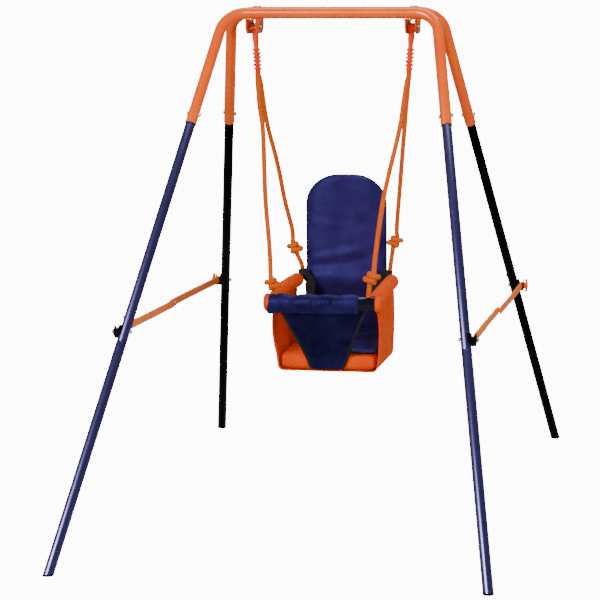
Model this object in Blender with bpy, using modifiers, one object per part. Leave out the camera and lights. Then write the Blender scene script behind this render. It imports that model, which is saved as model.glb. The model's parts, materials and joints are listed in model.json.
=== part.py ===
# Toddler swing: two tube frames that meet at the top, two braces, and a fabric seat on ropes.
# Metres, +Z up. The origin is on the floor under the middle of the four feet, and the front faces -Y.

import math

import bmesh
import bpy
from mathutils import Matrix, Vector

# Gaps between pieces
SEAT_GAP = 0.0003
TUBE_FIT = 0.0004
HOLE_FIT = 0.0003

# Frame tubes
TOP_TUBE = 0.0254
TUBE_WALL = 0.0012
LEG_TUBE = TOP_TUBE - 2 * TUBE_WALL - 2 * TUBE_FIT
NECK_TUBE = LEG_TUBE - 2 * TUBE_WALL - 2 * TUBE_FIT
BAR_HEIGHT = 1.120
BAR_SPACING = 0.066
CORNER_HALF_WIDTH = 0.241
BEND_RADIUS = 0.056
FRONT_REACH = 0.811
REAR_REACH = 0.783
FOOT_HALF_WIDTH = 0.451
REAR_FOOT_INSET = 0.007

# Places along a leg, measured from the corner where its centre line meets the bar's
FRONT_FIRST_SEAM = 0.296
REAR_FIRST_SEAM = 0.320
FRONT_SECOND_SEAM = 0.843
REAR_SECOND_SEAM = 0.855
TOP_OVERLAP = 0.040
LOW_OVERLAP = 0.080
SEAM_BOLT_BACK = 0.026
BUTTON_BACK = 0.060
BRACE_BACK_FRONT = 0.026
BRACE_BACK_REAR = 0.026
SWAGE_LENGTH = 0.006

# Feet
PLUG_HEAD = 0.0042
PLUG_STEM = 0.035
PLUG_LIP = 0.0004

# Bolts
BOLT = 0.006
HEAD = 0.0105
HEAD_HEIGHT = 0.0035
NUT = 0.011
NUT_HEIGHT = 0.006
SEAM_BOLT = 0.005
SEAM_HEAD = 0.010
BUTTON = 0.0066
BUTTON_FLANGE = 0.0090
BUTTON_PROUD = 0.0030

# Hanger brackets and the straps over the rear bar
BRACKET_X = 0.182
BRACKET_WIDTH = 0.025
BRACKET_PLATE = 0.002
BRACKET_FRONT = 0.040
BRACKET_REAR = 0.0515
EAR_DEPTH = 0.035
EAR_ROUND = 0.025
STRAP_WIDTH = 0.018
STRAP_PLATE = 0.002
STRAP_FLANGE = 0.0032
STRAP_CLEARANCE = 0.00035
PIVOT_BELOW_BAR = 0.035

# Rope hangers
HANGER_X = 0.1805
HANGER_HEAD = 0.024
HANGER_THICK = 0.014
HANGER_NECK = 0.013
HANGER_DEPTH_RATIO = 1.86
HANGER_RIBS_START = 0.043
HANGER_LENGTH = 0.095
HANGER_LEAN = 0.0065
RIB_COUNT = 6
RIB_WIDE = 0.0148
RIB_NARROW = 0.0118

# Braces
BRACE_HEIGHT = 0.015
BRACE_THICK = 0.0072
BRACE_WALL = 0.0011
BRACE_PIVOT_END = 0.0055
BRACE_LAP_END = 0.010
LAP_GAP = 0.0004
LAP_START = 0.45
LAP_FULL = 0.60

# Hinge blocks between the legs and the braces, measured from the pivot along the leg and across it
BLOCK_INNER_WALL = 0.0012
BLOCK_OUTER_WALL = 0.0024
BLOCK_HALF_LENGTH = 0.0135
BLOCK_OPEN_SIDE = 0.0095
BLOCK_BACK_SIDE = 0.0125
BLOCK_POCKET = 0.0098
BLOCK_BACK_TOP = 0.002

# Wing knobs
KNOB_SPAN = 0.033
KNOB_TIP = 0.0048
KNOB_PLATE = 0.0055
KNOB_HUB = 0.015
KNOB_HUB_LENGTH = 0.010

# Ropes
ROPE = 0.0105
ROPE_SPREAD = 0.011
KNOT_SQUEEZE = 0.85
KNOT_SPACING = 1.06
KNOT_TURN_STEPS = 9
ROPE_STEP = 0.038

# The stretch of rope that cuts its way through the bar, its sleeve and the webbing
PASSAGE_ABOVE = 0.2015
PASSAGE_AHEAD = 0.030
PASSAGE_BEHIND = 0.033
PASSAGE_FIT = 0.0014
WEBBING_PASSAGE_START = 0.120
WEBBING_PASSAGE_END = 0.185

# Seat, measured up from the underside of its base, which hangs SEAT_DROP below the pivot
SEAT_DROP = 0.774
BASE_THICK = 0.042
BASE_FRONT = -0.090
BASE_REAR = 0.150
BASE_HALF_WIDTH = 0.113
SIDE_CLOTH = 0.004
SIDE_SPREAD = 0.0035
SIDE_FRONT_TOP = -0.120
BASE_CORNER = 0.014
SIDE_PANEL_HEIGHT = 0.155
COVER_STATIONS = 10
BOARD_THICK = 0.012
BOARD_ABOVE = 0.012
BOARD_HALF_WIDTH = 0.098
ARM_OUTER = 0.035
ARM_BORE = 0.0186
BAR_TUBE = 0.029
BAR_WALL = 0.0022
BAR_HALF_LENGTH = 0.130
BAR_Y = -0.145
BAR_ABOVE = 0.1655
SLEEVE_OUTER = 0.037
SLEEVE_LEFT = -0.125
SLEEVE_RIGHT = 0.083
PANEL_THICK = 0.003
PANEL_TOP_HALF_WIDTH = 0.096
PANEL_LOW_HALF_WIDTH = 0.0335
PANEL_LOW_ABOVE = 0.012
PAD_HALF_WIDTH = 0.095
PAD_THICK = 0.018
PAD_RIM = 0.007
PAD_FACE_Y = 0.160
PAD_TOP_ABOVE = 0.4245
PAD_FRONT_Y = -0.084
PAD_BEND = 0.020
PAD_ROUND = 0.070
WEBBING_WIDTH = 0.023
WEBBING_THICK = 0.002

PLANE_Y = (FRONT_REACH - REAR_REACH) / 2
PIVOT_Z = BAR_HEIGHT - PIVOT_BELOW_BAR
SEAT_Z = PIVOT_Z - SEAT_DROP
X_AXIS = Vector((1, 0, 0))
Z_AXIS = Vector((0, 0, 1))
SIDES = {"left": -1, "right": 1}


def at(x, y, z):
    """A point given from the plane midway between the two top bars."""
    return Vector((x, PLANE_Y + y, z))


def clear_scene():
    for obj in list(bpy.data.objects):
        bpy.data.objects.remove(obj)


def new_collection(name):
    collection = bpy.data.collections.new(name)
    bpy.context.scene.collection.children.link(collection)
    return collection


def make_material(name, color, roughness, metallic=0.0):
    material = bpy.data.materials.new(name)
    material.use_nodes = True
    shader = material.node_tree.nodes["Principled BSDF"]
    shader.inputs["Base Color"].default_value = (*color, 1.0)
    shader.inputs["Roughness"].default_value = roughness
    shader.inputs["Metallic"].default_value = metallic
    return material


def place_mesh(name, mesh, material):
    obj = bpy.data.objects.new(name, mesh)
    if material:
        mesh.materials.clear()
        mesh.materials.append(material)
    PARTS.objects.link(obj)
    mesh.shade_smooth()
    mesh.set_sharp_from_angle(angle=math.radians(35))
    return obj


def swept(name, points, diameter, material, radii=None, sides=12, capped=True):
    """A round tube or rod along the points, as a mesh that Booleans and Solidify can work on."""
    curve = bpy.data.curves.new(name, "CURVE")
    curve.dimensions = "3D"
    curve.bevel_depth = diameter / 2
    curve.bevel_resolution = (sides - 4) // 2
    curve.use_fill_caps = capped
    spline = curve.splines.new("POLY")
    spline.points.add(len(points) - 1)
    for index, place in enumerate(points):
        spline.points[index].co = (*place, 1.0)
        spline.points[index].radius = radii[index] if radii else 1.0
    guide = bpy.data.objects.new(name + "_path", curve)
    HELPERS.objects.link(guide)
    graph = bpy.context.evaluated_depsgraph_get()
    mesh = bpy.data.meshes.new_from_object(guide.evaluated_get(graph))
    bpy.data.objects.remove(guide)
    weld(mesh, recalculate=capped)
    return place_mesh(name, mesh, material)


def weld(mesh, recalculate):
    work = bmesh.new()
    work.from_mesh(mesh)
    bmesh.ops.remove_doubles(work, verts=work.verts, dist=1e-6)
    if recalculate:
        bmesh.ops.recalc_face_normals(work, faces=work.faces)
    work.to_mesh(mesh)
    work.free()


def frame_matrix(origin, along, sideways=None):
    """A matrix whose Z runs along, with X as near to sideways as it can be."""
    z = Vector(along).normalized()
    reference = Vector(sideways) if sideways is not None else Vector((0, 0, 1))
    if abs(z.dot(reference.normalized())) > 0.99:
        reference = Vector((0, 1, 0))
    x = (reference - z * reference.dot(z)).normalized()
    y = z.cross(x)
    return Matrix.Translation(origin) @ Matrix((x, y, z)).transposed().to_4x4()


def turned(name, profile, origin, along, material, sides=16):
    """A solid of revolution: the profile's pairs are distance along the axis and radius, low to high."""
    mesh = bpy.data.meshes.new(name)
    points = [(radius, 0, distance) for distance, radius in reversed(profile)]
    mesh.from_pydata(points, [(i, i + 1) for i in range(len(points) - 1)], [])
    obj = place_mesh(name, mesh, material)
    screw = obj.modifiers.new("Turn", "SCREW")
    screw.steps = sides
    screw.render_steps = sides
    screw.use_merge_vertices = True
    screw.merge_threshold = 0.00001
    obj.matrix_world = frame_matrix(origin, along)
    return obj


def rod(name, start, end, diameter, material=None, sides=12):
    start, end = Vector(start), Vector(end)
    mesh = bpy.data.meshes.new(name)
    work = bmesh.new()
    half = Matrix.Translation((0, 0, (end - start).length / 2))
    bmesh.ops.create_cone(
        work, cap_ends=True, segments=sides, radius1=diameter / 2, radius2=diameter / 2,
        depth=(end - start).length, matrix=half,
    )
    work.to_mesh(mesh)
    work.free()
    obj = place_mesh(name, mesh, material)
    obj.matrix_world = frame_matrix(start, end - start)
    return obj


def box(name, low, high, material=None):
    low, high = Vector(low), Vector(high)
    mesh = bpy.data.meshes.new(name)
    work = bmesh.new()
    bmesh.ops.create_cube(work, size=1)
    bmesh.ops.scale(work, vec=high - low, verts=work.verts)
    work.to_mesh(mesh)
    work.free()
    obj = place_mesh(name, mesh, material)
    obj.location = (low + high) / 2
    return obj


def plate(name, outline, thickness, origin, normal, sideways, material):
    """A flat outline given thickness, centred on origin."""
    curve = bpy.data.curves.new(name, "CURVE")
    curve.dimensions = "2D"
    curve.fill_mode = "BOTH"
    curve.extrude = thickness / 2
    spline = curve.splines.new("POLY")
    spline.use_cyclic_u = True
    spline.points.add(len(outline) - 1)
    for index, (x, y) in enumerate(outline):
        spline.points[index].co = (x, y, 0, 1)
    guide = bpy.data.objects.new(name + "_outline", curve)
    HELPERS.objects.link(guide)
    graph = bpy.context.evaluated_depsgraph_get()
    mesh = bpy.data.meshes.new_from_object(guide.evaluated_get(graph))
    bpy.data.objects.remove(guide)
    weld(mesh, recalculate=True)
    obj = place_mesh(name, mesh, material)
    obj.matrix_world = frame_matrix(origin, normal, sideways)
    return obj


def soft_block(name, cuts, shape, material):
    """A closed block, cut into a grid, whose points are laid out by shape(u, v, w) from 0 to 1."""
    mesh = bpy.data.meshes.new(name)
    work = bmesh.new()
    bmesh.ops.create_cube(work, size=1, matrix=Matrix.Translation((0.5, 0.5, 0.5)))
    for axis, count in enumerate(cuts):
        normal = [0, 0, 0]
        normal[axis] = 1
        for step in range(1, count):
            place = [0, 0, 0]
            place[axis] = step / count
            geometry = work.verts[:] + work.edges[:] + work.faces[:]
            bmesh.ops.bisect_plane(work, geom=geometry, dist=1e-6, plane_co=place, plane_no=normal)
    for vert in work.verts:
        vert.co = shape(*vert.co)
    if work.calc_volume(signed=True) < 0:
        bmesh.ops.reverse_faces(work, faces=work.faces)
    work.to_mesh(mesh)
    work.free()
    return place_mesh(name, mesh, material)


def as_helper(obj):
    for collection in list(obj.users_collection):
        collection.objects.unlink(obj)
    HELPERS.objects.link(obj)
    obj.hide_render = True
    obj.display_type = "WIRE"
    return obj


def combine(obj, other, operation):
    boolean = obj.modifiers.new(other.name, "BOOLEAN")
    boolean.operation = operation
    boolean.object = as_helper(other)


def cut(obj, other):
    combine(obj, other, "DIFFERENCE")


def join(obj, other):
    combine(obj, other, "UNION")


def hollow(obj, wall):
    shell = obj.modifiers.new("Wall", "SOLIDIFY")
    shell.thickness = wall
    shell.offset = -1
    shell.use_even_offset = True


def drill(obj, start, end, diameter, sides=6):
    """A hole that a rod of this diameter runs through with HOLE_FIT to spare at its flats."""
    wide = diameter / math.cos(math.pi / sides) + 2 * HOLE_FIT
    cut(obj, rod(obj.name + "_hole", start, end, wide, sides=sides))


def level_slice(obj, low, high=None):
    """Keeps what lies between two heights and closes the cuts."""
    work = bmesh.new()
    work.from_mesh(obj.data)
    for level, direction in ((low, -1), (high, 1)):
        if level is None:
            continue
        geometry = work.verts[:] + work.edges[:] + work.faces[:]
        found = bmesh.ops.bisect_plane(
            work, geom=geometry, plane_co=(0, 0, level), plane_no=(0, 0, direction), clear_outer=True
        )
        rim = [item for item in found["geom_cut"] if isinstance(item, bmesh.types.BMEdge)]
        bmesh.ops.holes_fill(work, edges=rim)
    bmesh.ops.recalc_face_normals(work, faces=work.faces)
    work.to_mesh(obj.data)
    work.free()


def smooth_route(points, step):
    """Points a step apart or less along a Catmull-Rom curve through the given ones."""
    points = [Vector(point) for point in points]
    ends = [2 * points[0] - points[1]] + points + [2 * points[-1] - points[-2]]
    route = [points[0]]
    for before, start, end, after in zip(ends, ends[1:], ends[2:], ends[3:]):
        count = max(1, math.ceil((end - start).length / step))
        for index in range(1, count + 1):
            t = index / count
            route.append(0.5 * (
                2 * start
                + (end - before) * t
                + (2 * before - 5 * start + 4 * end - after) * t ** 2
                + (3 * start - before - 3 * end + after) * t ** 3
            ))
    return route


def dome_head(start, height, diameter):
    """Profile of a low dome whose flat side is at start, rising with the sign of height."""
    steps = [(0, 1), (0.6, 0.86), (1, 0.35)]
    return [(start + height * rise, diameter / 2 * wide) for rise, wide in steps] + [(start + height, 0)]


class Leg:
    """One leg's centre line, from the corner down to the floor."""

    def __init__(self, frame, side):
        front = frame == "front"
        turn = -1 if front else 1
        hand = SIDES[side]
        self.name = frame + "_" + side
        self.frame = frame
        self.side = side
        self.hand = hand
        self.corner = at(hand * CORNER_HALF_WIDTH, turn * BAR_SPACING / 2, BAR_HEIGHT)
        foot_half_width = FOOT_HALF_WIDTH if front else FOOT_HALF_WIDTH - REAR_FOOT_INSET
        reach = FRONT_REACH if front else REAR_REACH
        self.foot = at(hand * foot_half_width, turn * reach, 0)
        self.along = (self.foot - self.corner).normalized()
        self.length = (self.foot - self.corner).length
        self.first_seam = FRONT_FIRST_SEAM if front else REAR_FIRST_SEAM
        self.second_seam = FRONT_SECOND_SEAM if front else REAR_SECOND_SEAM
        self.brace = self.second_seam - (BRACE_BACK_FRONT if front else BRACE_BACK_REAR)
        self.button = self.second_seam - BUTTON_BACK
        # The small bolts lie in the frame's own plane, square to the leg.
        self.across = (X_AXIS - self.along * X_AXIS.dot(self.along)).normalized()
        if self.name in ("front_left", "rear_right"):
            self.button_way = -self.across
        else:
            back = Vector((0, 1, 0))
            self.button_way = (back - self.along * back.dot(self.along)).normalized()

    def point(self, distance):
        return self.corner + self.along * distance


def bend(first, corner, second, radius, steps=5):
    """The arc that rounds the corner between two straight runs."""
    into = (Vector(first) - corner).normalized()
    out = (Vector(second) - corner).normalized()
    half = into.angle(out) / 2
    centre = corner + (into + out).normalized() * radius / math.sin(half)
    start = corner + into * radius / math.tan(half)
    end = corner + out * radius / math.tan(half)
    axis = (start - centre).cross(end - centre).normalized()
    sweep = (start - centre).angle(end - centre)
    return [
        centre + Matrix.Rotation(sweep * index / steps, 3, axis) @ (start - centre)
        for index in range(steps + 1)
    ]


def make_top_tube(frame):
    left, right = LEGS[frame + "_left"], LEGS[frame + "_right"]
    left_end = left.point(left.first_seam)
    right_end = right.point(right.first_seam)
    points = [left_end]
    points += bend(left_end, left.corner, right.corner, BEND_RADIUS)
    points += bend(left.corner, right.corner, right_end, BEND_RADIUS)
    points.append(right_end)
    tube = swept(frame + "_top_tube", points, TOP_TUBE, ORANGE_PAINT, sides=16, capped=False)
    hollow(tube, TUBE_WALL)
    for leg in (left, right):
        middle = leg.point(leg.first_seam - SEAM_BOLT_BACK)
        drill(tube, middle - leg.across * TOP_TUBE, middle + leg.across * TOP_TUBE, SEAM_BOLT)
    return tube


def make_leg(leg):
    paint = NAVY_PAINT if leg.frame == "front" else BLACK_PAINT
    top = leg.point(leg.first_seam - TOP_OVERLAP)
    middle = swept(
        leg.name + "_middle_tube", [top, leg.point(leg.second_seam)], LEG_TUBE, paint,
        sides=16, capped=False,
    )
    hollow(middle, TUBE_WALL)
    shoulder = leg.second_seam + SEAT_GAP
    swage_end = shoulder + SWAGE_LENGTH / 2
    stations = [leg.second_seam - LOW_OVERLAP, shoulder - 0.001, swage_end, leg.length + 0.02]
    neck = NECK_TUBE / LEG_TUBE
    lower = swept(
        leg.name + "_lower_tube", [leg.point(distance) for distance in stations], LEG_TUBE, paint,
        radii=[neck, neck, 1, 1], sides=16, capped=False,
    )
    hollow(lower, TUBE_WALL)
    reach = Vector((0.1, 0.1, 0.1))
    cut(lower, box(leg.name + "_floor", leg.foot - reach, leg.foot + Vector((0.1, 0.1, PLUG_HEAD))))

    seam = leg.point(leg.first_seam - SEAM_BOLT_BACK)
    drill(middle, seam - leg.across * TOP_TUBE, seam + leg.across * TOP_TUBE, SEAM_BOLT)
    face = TOP_TUBE / 2 + SEAT_GAP
    tip = face + HEAD_HEIGHT * 1.3
    profile = [(-face - HEAD_HEIGHT, 0)]
    profile += list(reversed(dome_head(-face, -HEAD_HEIGHT, SEAM_HEAD)))[1:]
    profile += [(-face, SEAM_BOLT / 2), (face, SEAM_BOLT / 2)]
    profile += dome_head(face, tip - face, SEAM_HEAD)
    turned(leg.name + "_seam_bolt", profile, seam, leg.across, BRIGHT_ZINC, sides=10)

    button = leg.point(leg.button)
    for tube in (middle, lower):
        drill(tube, button, button + leg.button_way * LEG_TUBE, BUTTON)
    make_button(leg, button)
    make_foot_plug(leg)
    return middle, lower


def make_button(leg, centre):
    """A push button that stands out through both tubes, with a flange that keeps it in the inner one."""
    inner = NECK_TUBE / 2 - TUBE_WALL
    flange_face = math.sqrt(inner ** 2 - (BUTTON_FLANGE / 2) ** 2) - 2 * SEAT_GAP
    reach = LEG_TUBE / 2 + BUTTON_PROUD
    profile = [
        (flange_face - 0.0012, 0),
        (flange_face - 0.0012, BUTTON_FLANGE / 2),
        (flange_face, BUTTON_FLANGE / 2),
        (flange_face, BUTTON / 2),
        (reach - 0.0014, BUTTON / 2),
        (reach - 0.0004, BUTTON * 0.38),
        (reach, BUTTON * 0.18),
        (reach, 0),
    ]
    turned(leg.name + "_spring_button", profile, centre, leg.button_way, BRIGHT_ZINC, sides=10)


def make_foot_plug(leg):
    head = swept(
        leg.name + "_foot_plug", [leg.foot - leg.along * 0.05, leg.foot + leg.along * 0.05],
        LEG_TUBE + 2 * PLUG_LIP, BLACK_PLASTIC, sides=16,
    )
    level_slice(head, 0, PLUG_HEAD - SEAT_GAP)
    stem = swept(
        leg.name + "_plug_stem", [leg.foot - leg.along * PLUG_STEM, leg.foot + leg.along * 0.05],
        LEG_TUBE - 2 * TUBE_WALL - 2 * TUBE_FIT, BLACK_PLASTIC, sides=16,
    )
    level_slice(stem, PLUG_HEAD / 2)
    join(head, stem)


def make_bracket(side):
    """A channel under both bars: a plate with an ear on each side that the hanger swings between."""
    hand = SIDES[side]
    web_top = BAR_HEIGHT - TOP_TUBE / 2 - SEAT_GAP
    low = web_top - EAR_DEPTH
    front, rear = -BRACKET_FRONT, BRACKET_REAR
    outline = [(front, web_top)]
    for centre_y, start in ((front + EAR_ROUND, 180), (rear - EAR_ROUND, 270)):
        for step in range(7):
            angle = math.radians(start + 15 * step)
            y = centre_y + EAR_ROUND * math.cos(angle)
            z = low + EAR_ROUND + EAR_ROUND * math.sin(angle)
            outline.append((y, z))
    outline.append((rear, web_top))
    name = side + "_hanger_bracket"
    centre = at(hand * BRACKET_X, 0, 0)
    bracket = plate(name, outline, BRACKET_WIDTH, centre, X_AXIS, (0, 1, 0), ORANGE_PAINT)
    inner = BRACKET_WIDTH / 2 - BRACKET_PLATE
    channel = box(
        name + "_channel",
        centre + Vector((-inner, front - 0.01, low - 0.01)),
        centre + Vector((inner, rear + 0.01, web_top - BRACKET_PLATE)),
    )
    cut(bracket, channel)
    pivot = at(hand * BRACKET_X, 0, PIVOT_Z)
    drill(bracket, pivot - X_AXIS * BRACKET_WIDTH, pivot + X_AXIS * BRACKET_WIDTH, BOLT)

    front_bar = at(hand * BRACKET_X, -BAR_SPACING / 2, BAR_HEIGHT)
    under = web_top - BRACKET_PLATE - SEAT_GAP
    below = front_bar - Z_AXIS * TOP_TUBE
    drill(bracket, below, front_bar, BOLT)
    drill(TOP_TUBES["front"], below, front_bar, BOLT)
    shank_top = BAR_HEIGHT + TOP_TUBE * 0.1
    profile = [(under - HEAD_HEIGHT, 0)]
    profile += list(reversed(dome_head(under, -HEAD_HEIGHT, HEAD)))[1:]
    profile += [(under, BOLT / 2), (shank_top, BOLT / 2), (shank_top, 0)]
    base = at(hand * BRACKET_X, -BAR_SPACING / 2, 0)
    turned(side + "_bracket_bolt", profile, base, Z_AXIS, BRIGHT_ZINC, sides=10)

    face = BRACKET_WIDTH / 2 + SEAT_GAP
    profile = [(-face - HEAD_HEIGHT, 0)]
    profile += list(reversed(dome_head(-face, -HEAD_HEIGHT, HEAD)))[1:]
    profile += [(-face, BOLT / 2), (face, BOLT / 2), (face, NUT / 2), (face + NUT_HEIGHT * 0.6, NUT / 2)]
    profile += dome_head(face + NUT_HEIGHT * 0.6, NUT_HEIGHT * 0.4, NUT * 0.8)
    turned(side + "_hanger_bolt", profile, pivot, X_AXIS, BRIGHT_ZINC, sides=10)
    make_bar_strap(side, web_top)


def make_bar_strap(side, web_top):
    """A saddle over the rear bar, which turns in it when the frame folds."""
    inner = TOP_TUBE / 2 + STRAP_CLEARANCE
    outer = inner + STRAP_PLATE
    foot = web_top + SEAT_GAP - BAR_HEIGHT
    flange_top = foot + STRAP_PLATE
    outline = [(-outer - STRAP_FLANGE, foot), (-outer - STRAP_FLANGE, flange_top), (-outer, flange_top)]
    for step in range(13):
        angle = math.radians(180 - 15 * step)
        outline.append((outer * math.cos(angle), outer * math.sin(angle)))
    edge = outer + STRAP_FLANGE
    outline += [(outer, flange_top), (edge, flange_top), (edge, foot), (inner, foot)]
    for step in range(13):
        angle = math.radians(15 * step)
        outline.append((inner * math.cos(angle), inner * math.sin(angle)))
    outline.append((-inner, foot))
    centre = at(SIDES[side] * (BRACKET_X - 0.0012), BAR_SPACING / 2, BAR_HEIGHT)
    plate(side + "_rear_bar_strap", outline, STRAP_WIDTH, centre, X_AXIS, (0, 1, 0), ORANGE_PAINT)


def make_rope_hanger(side):
    """A moulded hanger: a round head on the bolt, a neck, and oval ribs down to where the ropes enter."""
    hand = SIDES[side]
    pivot = at(hand * HANGER_X, 0, PIVOT_Z)
    lean = Vector((-hand * HANGER_LEAN, 0, -HANGER_LENGTH))
    rib_run = HANGER_LENGTH - HANGER_RIBS_START
    stations = [(0.0, HANGER_NECK), (HANGER_RIBS_START - 0.001, HANGER_NECK)]
    pitch = rib_run / RIB_COUNT
    for rib in range(RIB_COUNT):
        start = HANGER_RIBS_START + rib * pitch
        swell = RIB_WIDE if 0 < rib < RIB_COUNT - 1 else (RIB_WIDE + RIB_NARROW) / 2
        stations += [(start + pitch * 0.2, RIB_NARROW)]
        stations += [(start + pitch * 0.4, swell), (start + pitch * 0.8, swell)]
    stations.append((HANGER_LENGTH, RIB_NARROW))
    # The neck is built round, then drawn out along Y, so that two ropes fit side by side.
    squeeze = Matrix.Diagonal((1, HANGER_DEPTH_RATIO, 1, 1))
    points = [lean * (distance / HANGER_LENGTH) for distance, _ in stations]
    radii = [wide / RIB_WIDE for _, wide in stations]
    hanger = swept(side + "_rope_hanger", points, RIB_WIDE, HANGER_PLASTIC, radii=radii, sides=10)
    hanger.data.transform(squeeze)
    hanger.location = pivot
    half = X_AXIS * HANGER_THICK / 2
    head = rod(side + "_hanger_head", pivot - half, pivot + half, HANGER_HEAD, HANGER_PLASTIC, sides=16)
    join(hanger, head)
    drill(hanger, pivot - X_AXIS * HANGER_THICK, pivot + X_AXIS * HANGER_THICK, BOLT)


def brace_plane():
    """How far out, in X, the braces' middle plane lies: clear of the legs and the blocks' inner walls."""
    widest = max(abs(leg.point(leg.brace).x) + LEG_TUBE / 2 / leg_lean(leg) for leg in LEGS.values())
    return widest + BLOCK_INNER_WALL + SEAT_GAP + BRACE_THICK / 2


def leg_lean(leg):
    """The cosine between the leg's across direction and X."""
    return leg.across.dot(X_AXIS)


def flat_tube(name, points, material):
    """A tube flattened in X: made round around x = 0, squeezed, then given its wall."""
    squeeze = BRACE_THICK / BRACE_HEIGHT
    wide = [Vector((point.x / squeeze, point.y, point.z)) for point in points]
    tube = swept(name, wide, BRACE_HEIGHT, material, sides=12, capped=False)
    tube.data.transform(Matrix.Diagonal((squeeze, 1, 1, 1)))
    hollow(tube, BRACE_WALL)
    return tube


def make_brace(side):
    hand = SIDES[side]
    plane = hand * brace_plane()
    legs = [LEGS["front_" + side], LEGS["rear_" + side]]
    pivots = [Vector((plane, leg.point(leg.brace).y, leg.point(leg.brace).z)) for leg in legs]
    middle = (pivots[0] + pivots[1]) / 2
    lap = (BRACE_THICK + LAP_GAP) / 2
    for leg, pivot, shift in zip(legs, pivots, (-lap, lap)):
        run = middle - pivot
        along = run.normalized()
        stations = [
            (0, -BRACE_PIVOT_END), (0, run.length * LAP_START),
            (shift, run.length * LAP_FULL), (shift, run.length + BRACE_LAP_END),
        ]
        points = [Vector((hand * out, 0, 0)) + along * distance for out, distance in stations]
        half = flat_tube(side + "_" + leg.frame + "_brace_half", points, ORANGE_PAINT)
        half.location = pivot
        reach = X_AXIS * BRACE_THICK * 2
        drill(half, pivot - reach, pivot + reach, BOLT)
        if leg.frame == "front":
            drill(half, middle - reach, middle + reach, BOLT)
        else:
            boss = middle + X_AXIS * hand * (lap + BRACE_THICK * 0.3)
            boss_end = boss + X_AXIS * hand * BRACE_THICK * 0.9
            join(half, rod(half.name + "_boss", boss, boss_end, NUT, ORANGE_PAINT))
        make_brace_pivot(leg, pivot)
    # The middle bolt stays in the front half: its head is on the inner side.
    head_face = -lap - BRACE_THICK / 2 - SEAT_GAP
    tip = -SEAT_GAP
    profile = [(head_face - HEAD_HEIGHT, 0)]
    profile += list(reversed(dome_head(head_face, -HEAD_HEIGHT, HEAD)))[1:]
    profile += [(head_face, BOLT / 2), (tip, BOLT / 2), (tip, 0)]
    turned(side + "_brace_middle_bolt", profile, middle, X_AXIS * hand, BRIGHT_ZINC, sides=10)


def block_slab(name, leg, centre, low, high, thickness, material=None):
    """A slab square to X, laid out from low to high as distances down the leg and across towards the brace."""
    slope = Vector((0, leg.along.y, leg.along.z)).normalized()
    turn = 1 if leg.frame == "front" else -1
    corners = [(low[0], low[1]), (high[0], low[1]), (high[0], high[1]), (low[0], high[1])]
    outline = [(down, across * turn) for down, across in corners]
    return plate(name, outline, thickness, centre, X_AXIS, slope, material)


def make_hinge_block(leg, pivot, inside, outside):
    """The block outside the leg: a saddle against the tube, and a pocket that the brace's end turns in."""
    out = X_AXIS * leg.hand
    axis_point = leg.point(leg.brace)
    name = leg.name + "_hinge_block"
    inner_face = LEG_TUBE * 0.12
    outer_face = abs(pivot.x - axis_point.x) + BRACE_THICK / 2 + SEAT_GAP + BLOCK_OUTER_WALL
    centre = axis_point + out * (inner_face + outer_face) / 2
    low = (-BLOCK_HALF_LENGTH, -BLOCK_BACK_SIDE)
    high = (BLOCK_HALF_LENGTH, BLOCK_OPEN_SIDE)
    block = block_slab(name, leg, centre, low, high, outer_face - inner_face, BLACK_PLASTIC)
    away = LEG_TUBE * 2
    saddle = LEG_TUBE / math.cos(math.pi / 16) + 2 * SEAT_GAP
    down = leg.along * away
    cut(block, rod(name + "_saddle", axis_point - down, axis_point + down, saddle, sides=16))
    slot = BRACE_THICK + 2 * SEAT_GAP
    pocket = (BLOCK_POCKET, away)
    cut(block, block_slab(name + "_pocket", leg, pivot, (-away, -BLOCK_POCKET), pocket, slot))
    sweep = (-BLOCK_BACK_TOP, away)
    cut(block, block_slab(name + "_sweep", leg, pivot, (-away, -away), sweep, slot))
    drill(block, inside, outside, BOLT)
    return outer_face


def make_brace_pivot(leg, pivot):
    """The hinge block, the bolt through the leg, the block and the brace, and a nut or a wing knob."""
    out = X_AXIS * leg.hand
    axis_point = leg.point(leg.brace)
    surface = LEG_TUBE / 2 / leg_lean(leg)
    inside = axis_point - out * LEG_TUBE
    outside = pivot + out * BRACE_THICK * 3
    outer_face = make_hinge_block(leg, pivot, inside, outside)
    for tube in LEG_TUBES[leg.name]:
        drill(tube, inside, outside, BOLT)

    # Distances from here on run outwards from the leg's centre line.
    inner_face = -surface - HEAD / 2 * math.tan(math.acos(leg_lean(leg))) - SEAT_GAP
    nut_face = outer_face + SEAT_GAP
    profile = [(inner_face - HEAD_HEIGHT, 0)]
    profile += list(reversed(dome_head(inner_face, -HEAD_HEIGHT, HEAD)))[1:]
    profile += [(inner_face, BOLT / 2)]
    if leg.frame == "front":
        profile += [(nut_face, BOLT / 2), (nut_face, NUT / 2), (nut_face + NUT_HEIGHT * 0.6, NUT / 2)]
        profile += dome_head(nut_face + NUT_HEIGHT * 0.6, NUT_HEIGHT * 0.4, NUT * 0.8)
    else:
        tip = nut_face + KNOB_HUB_LENGTH * 0.75
        profile += [(tip, BOLT / 2), (tip, 0)]
        make_wing_knob(leg, axis_point + out * nut_face, out)
    turned(leg.name + "_brace_bolt", profile, axis_point, out, BRIGHT_ZINC, sides=10)


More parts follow.
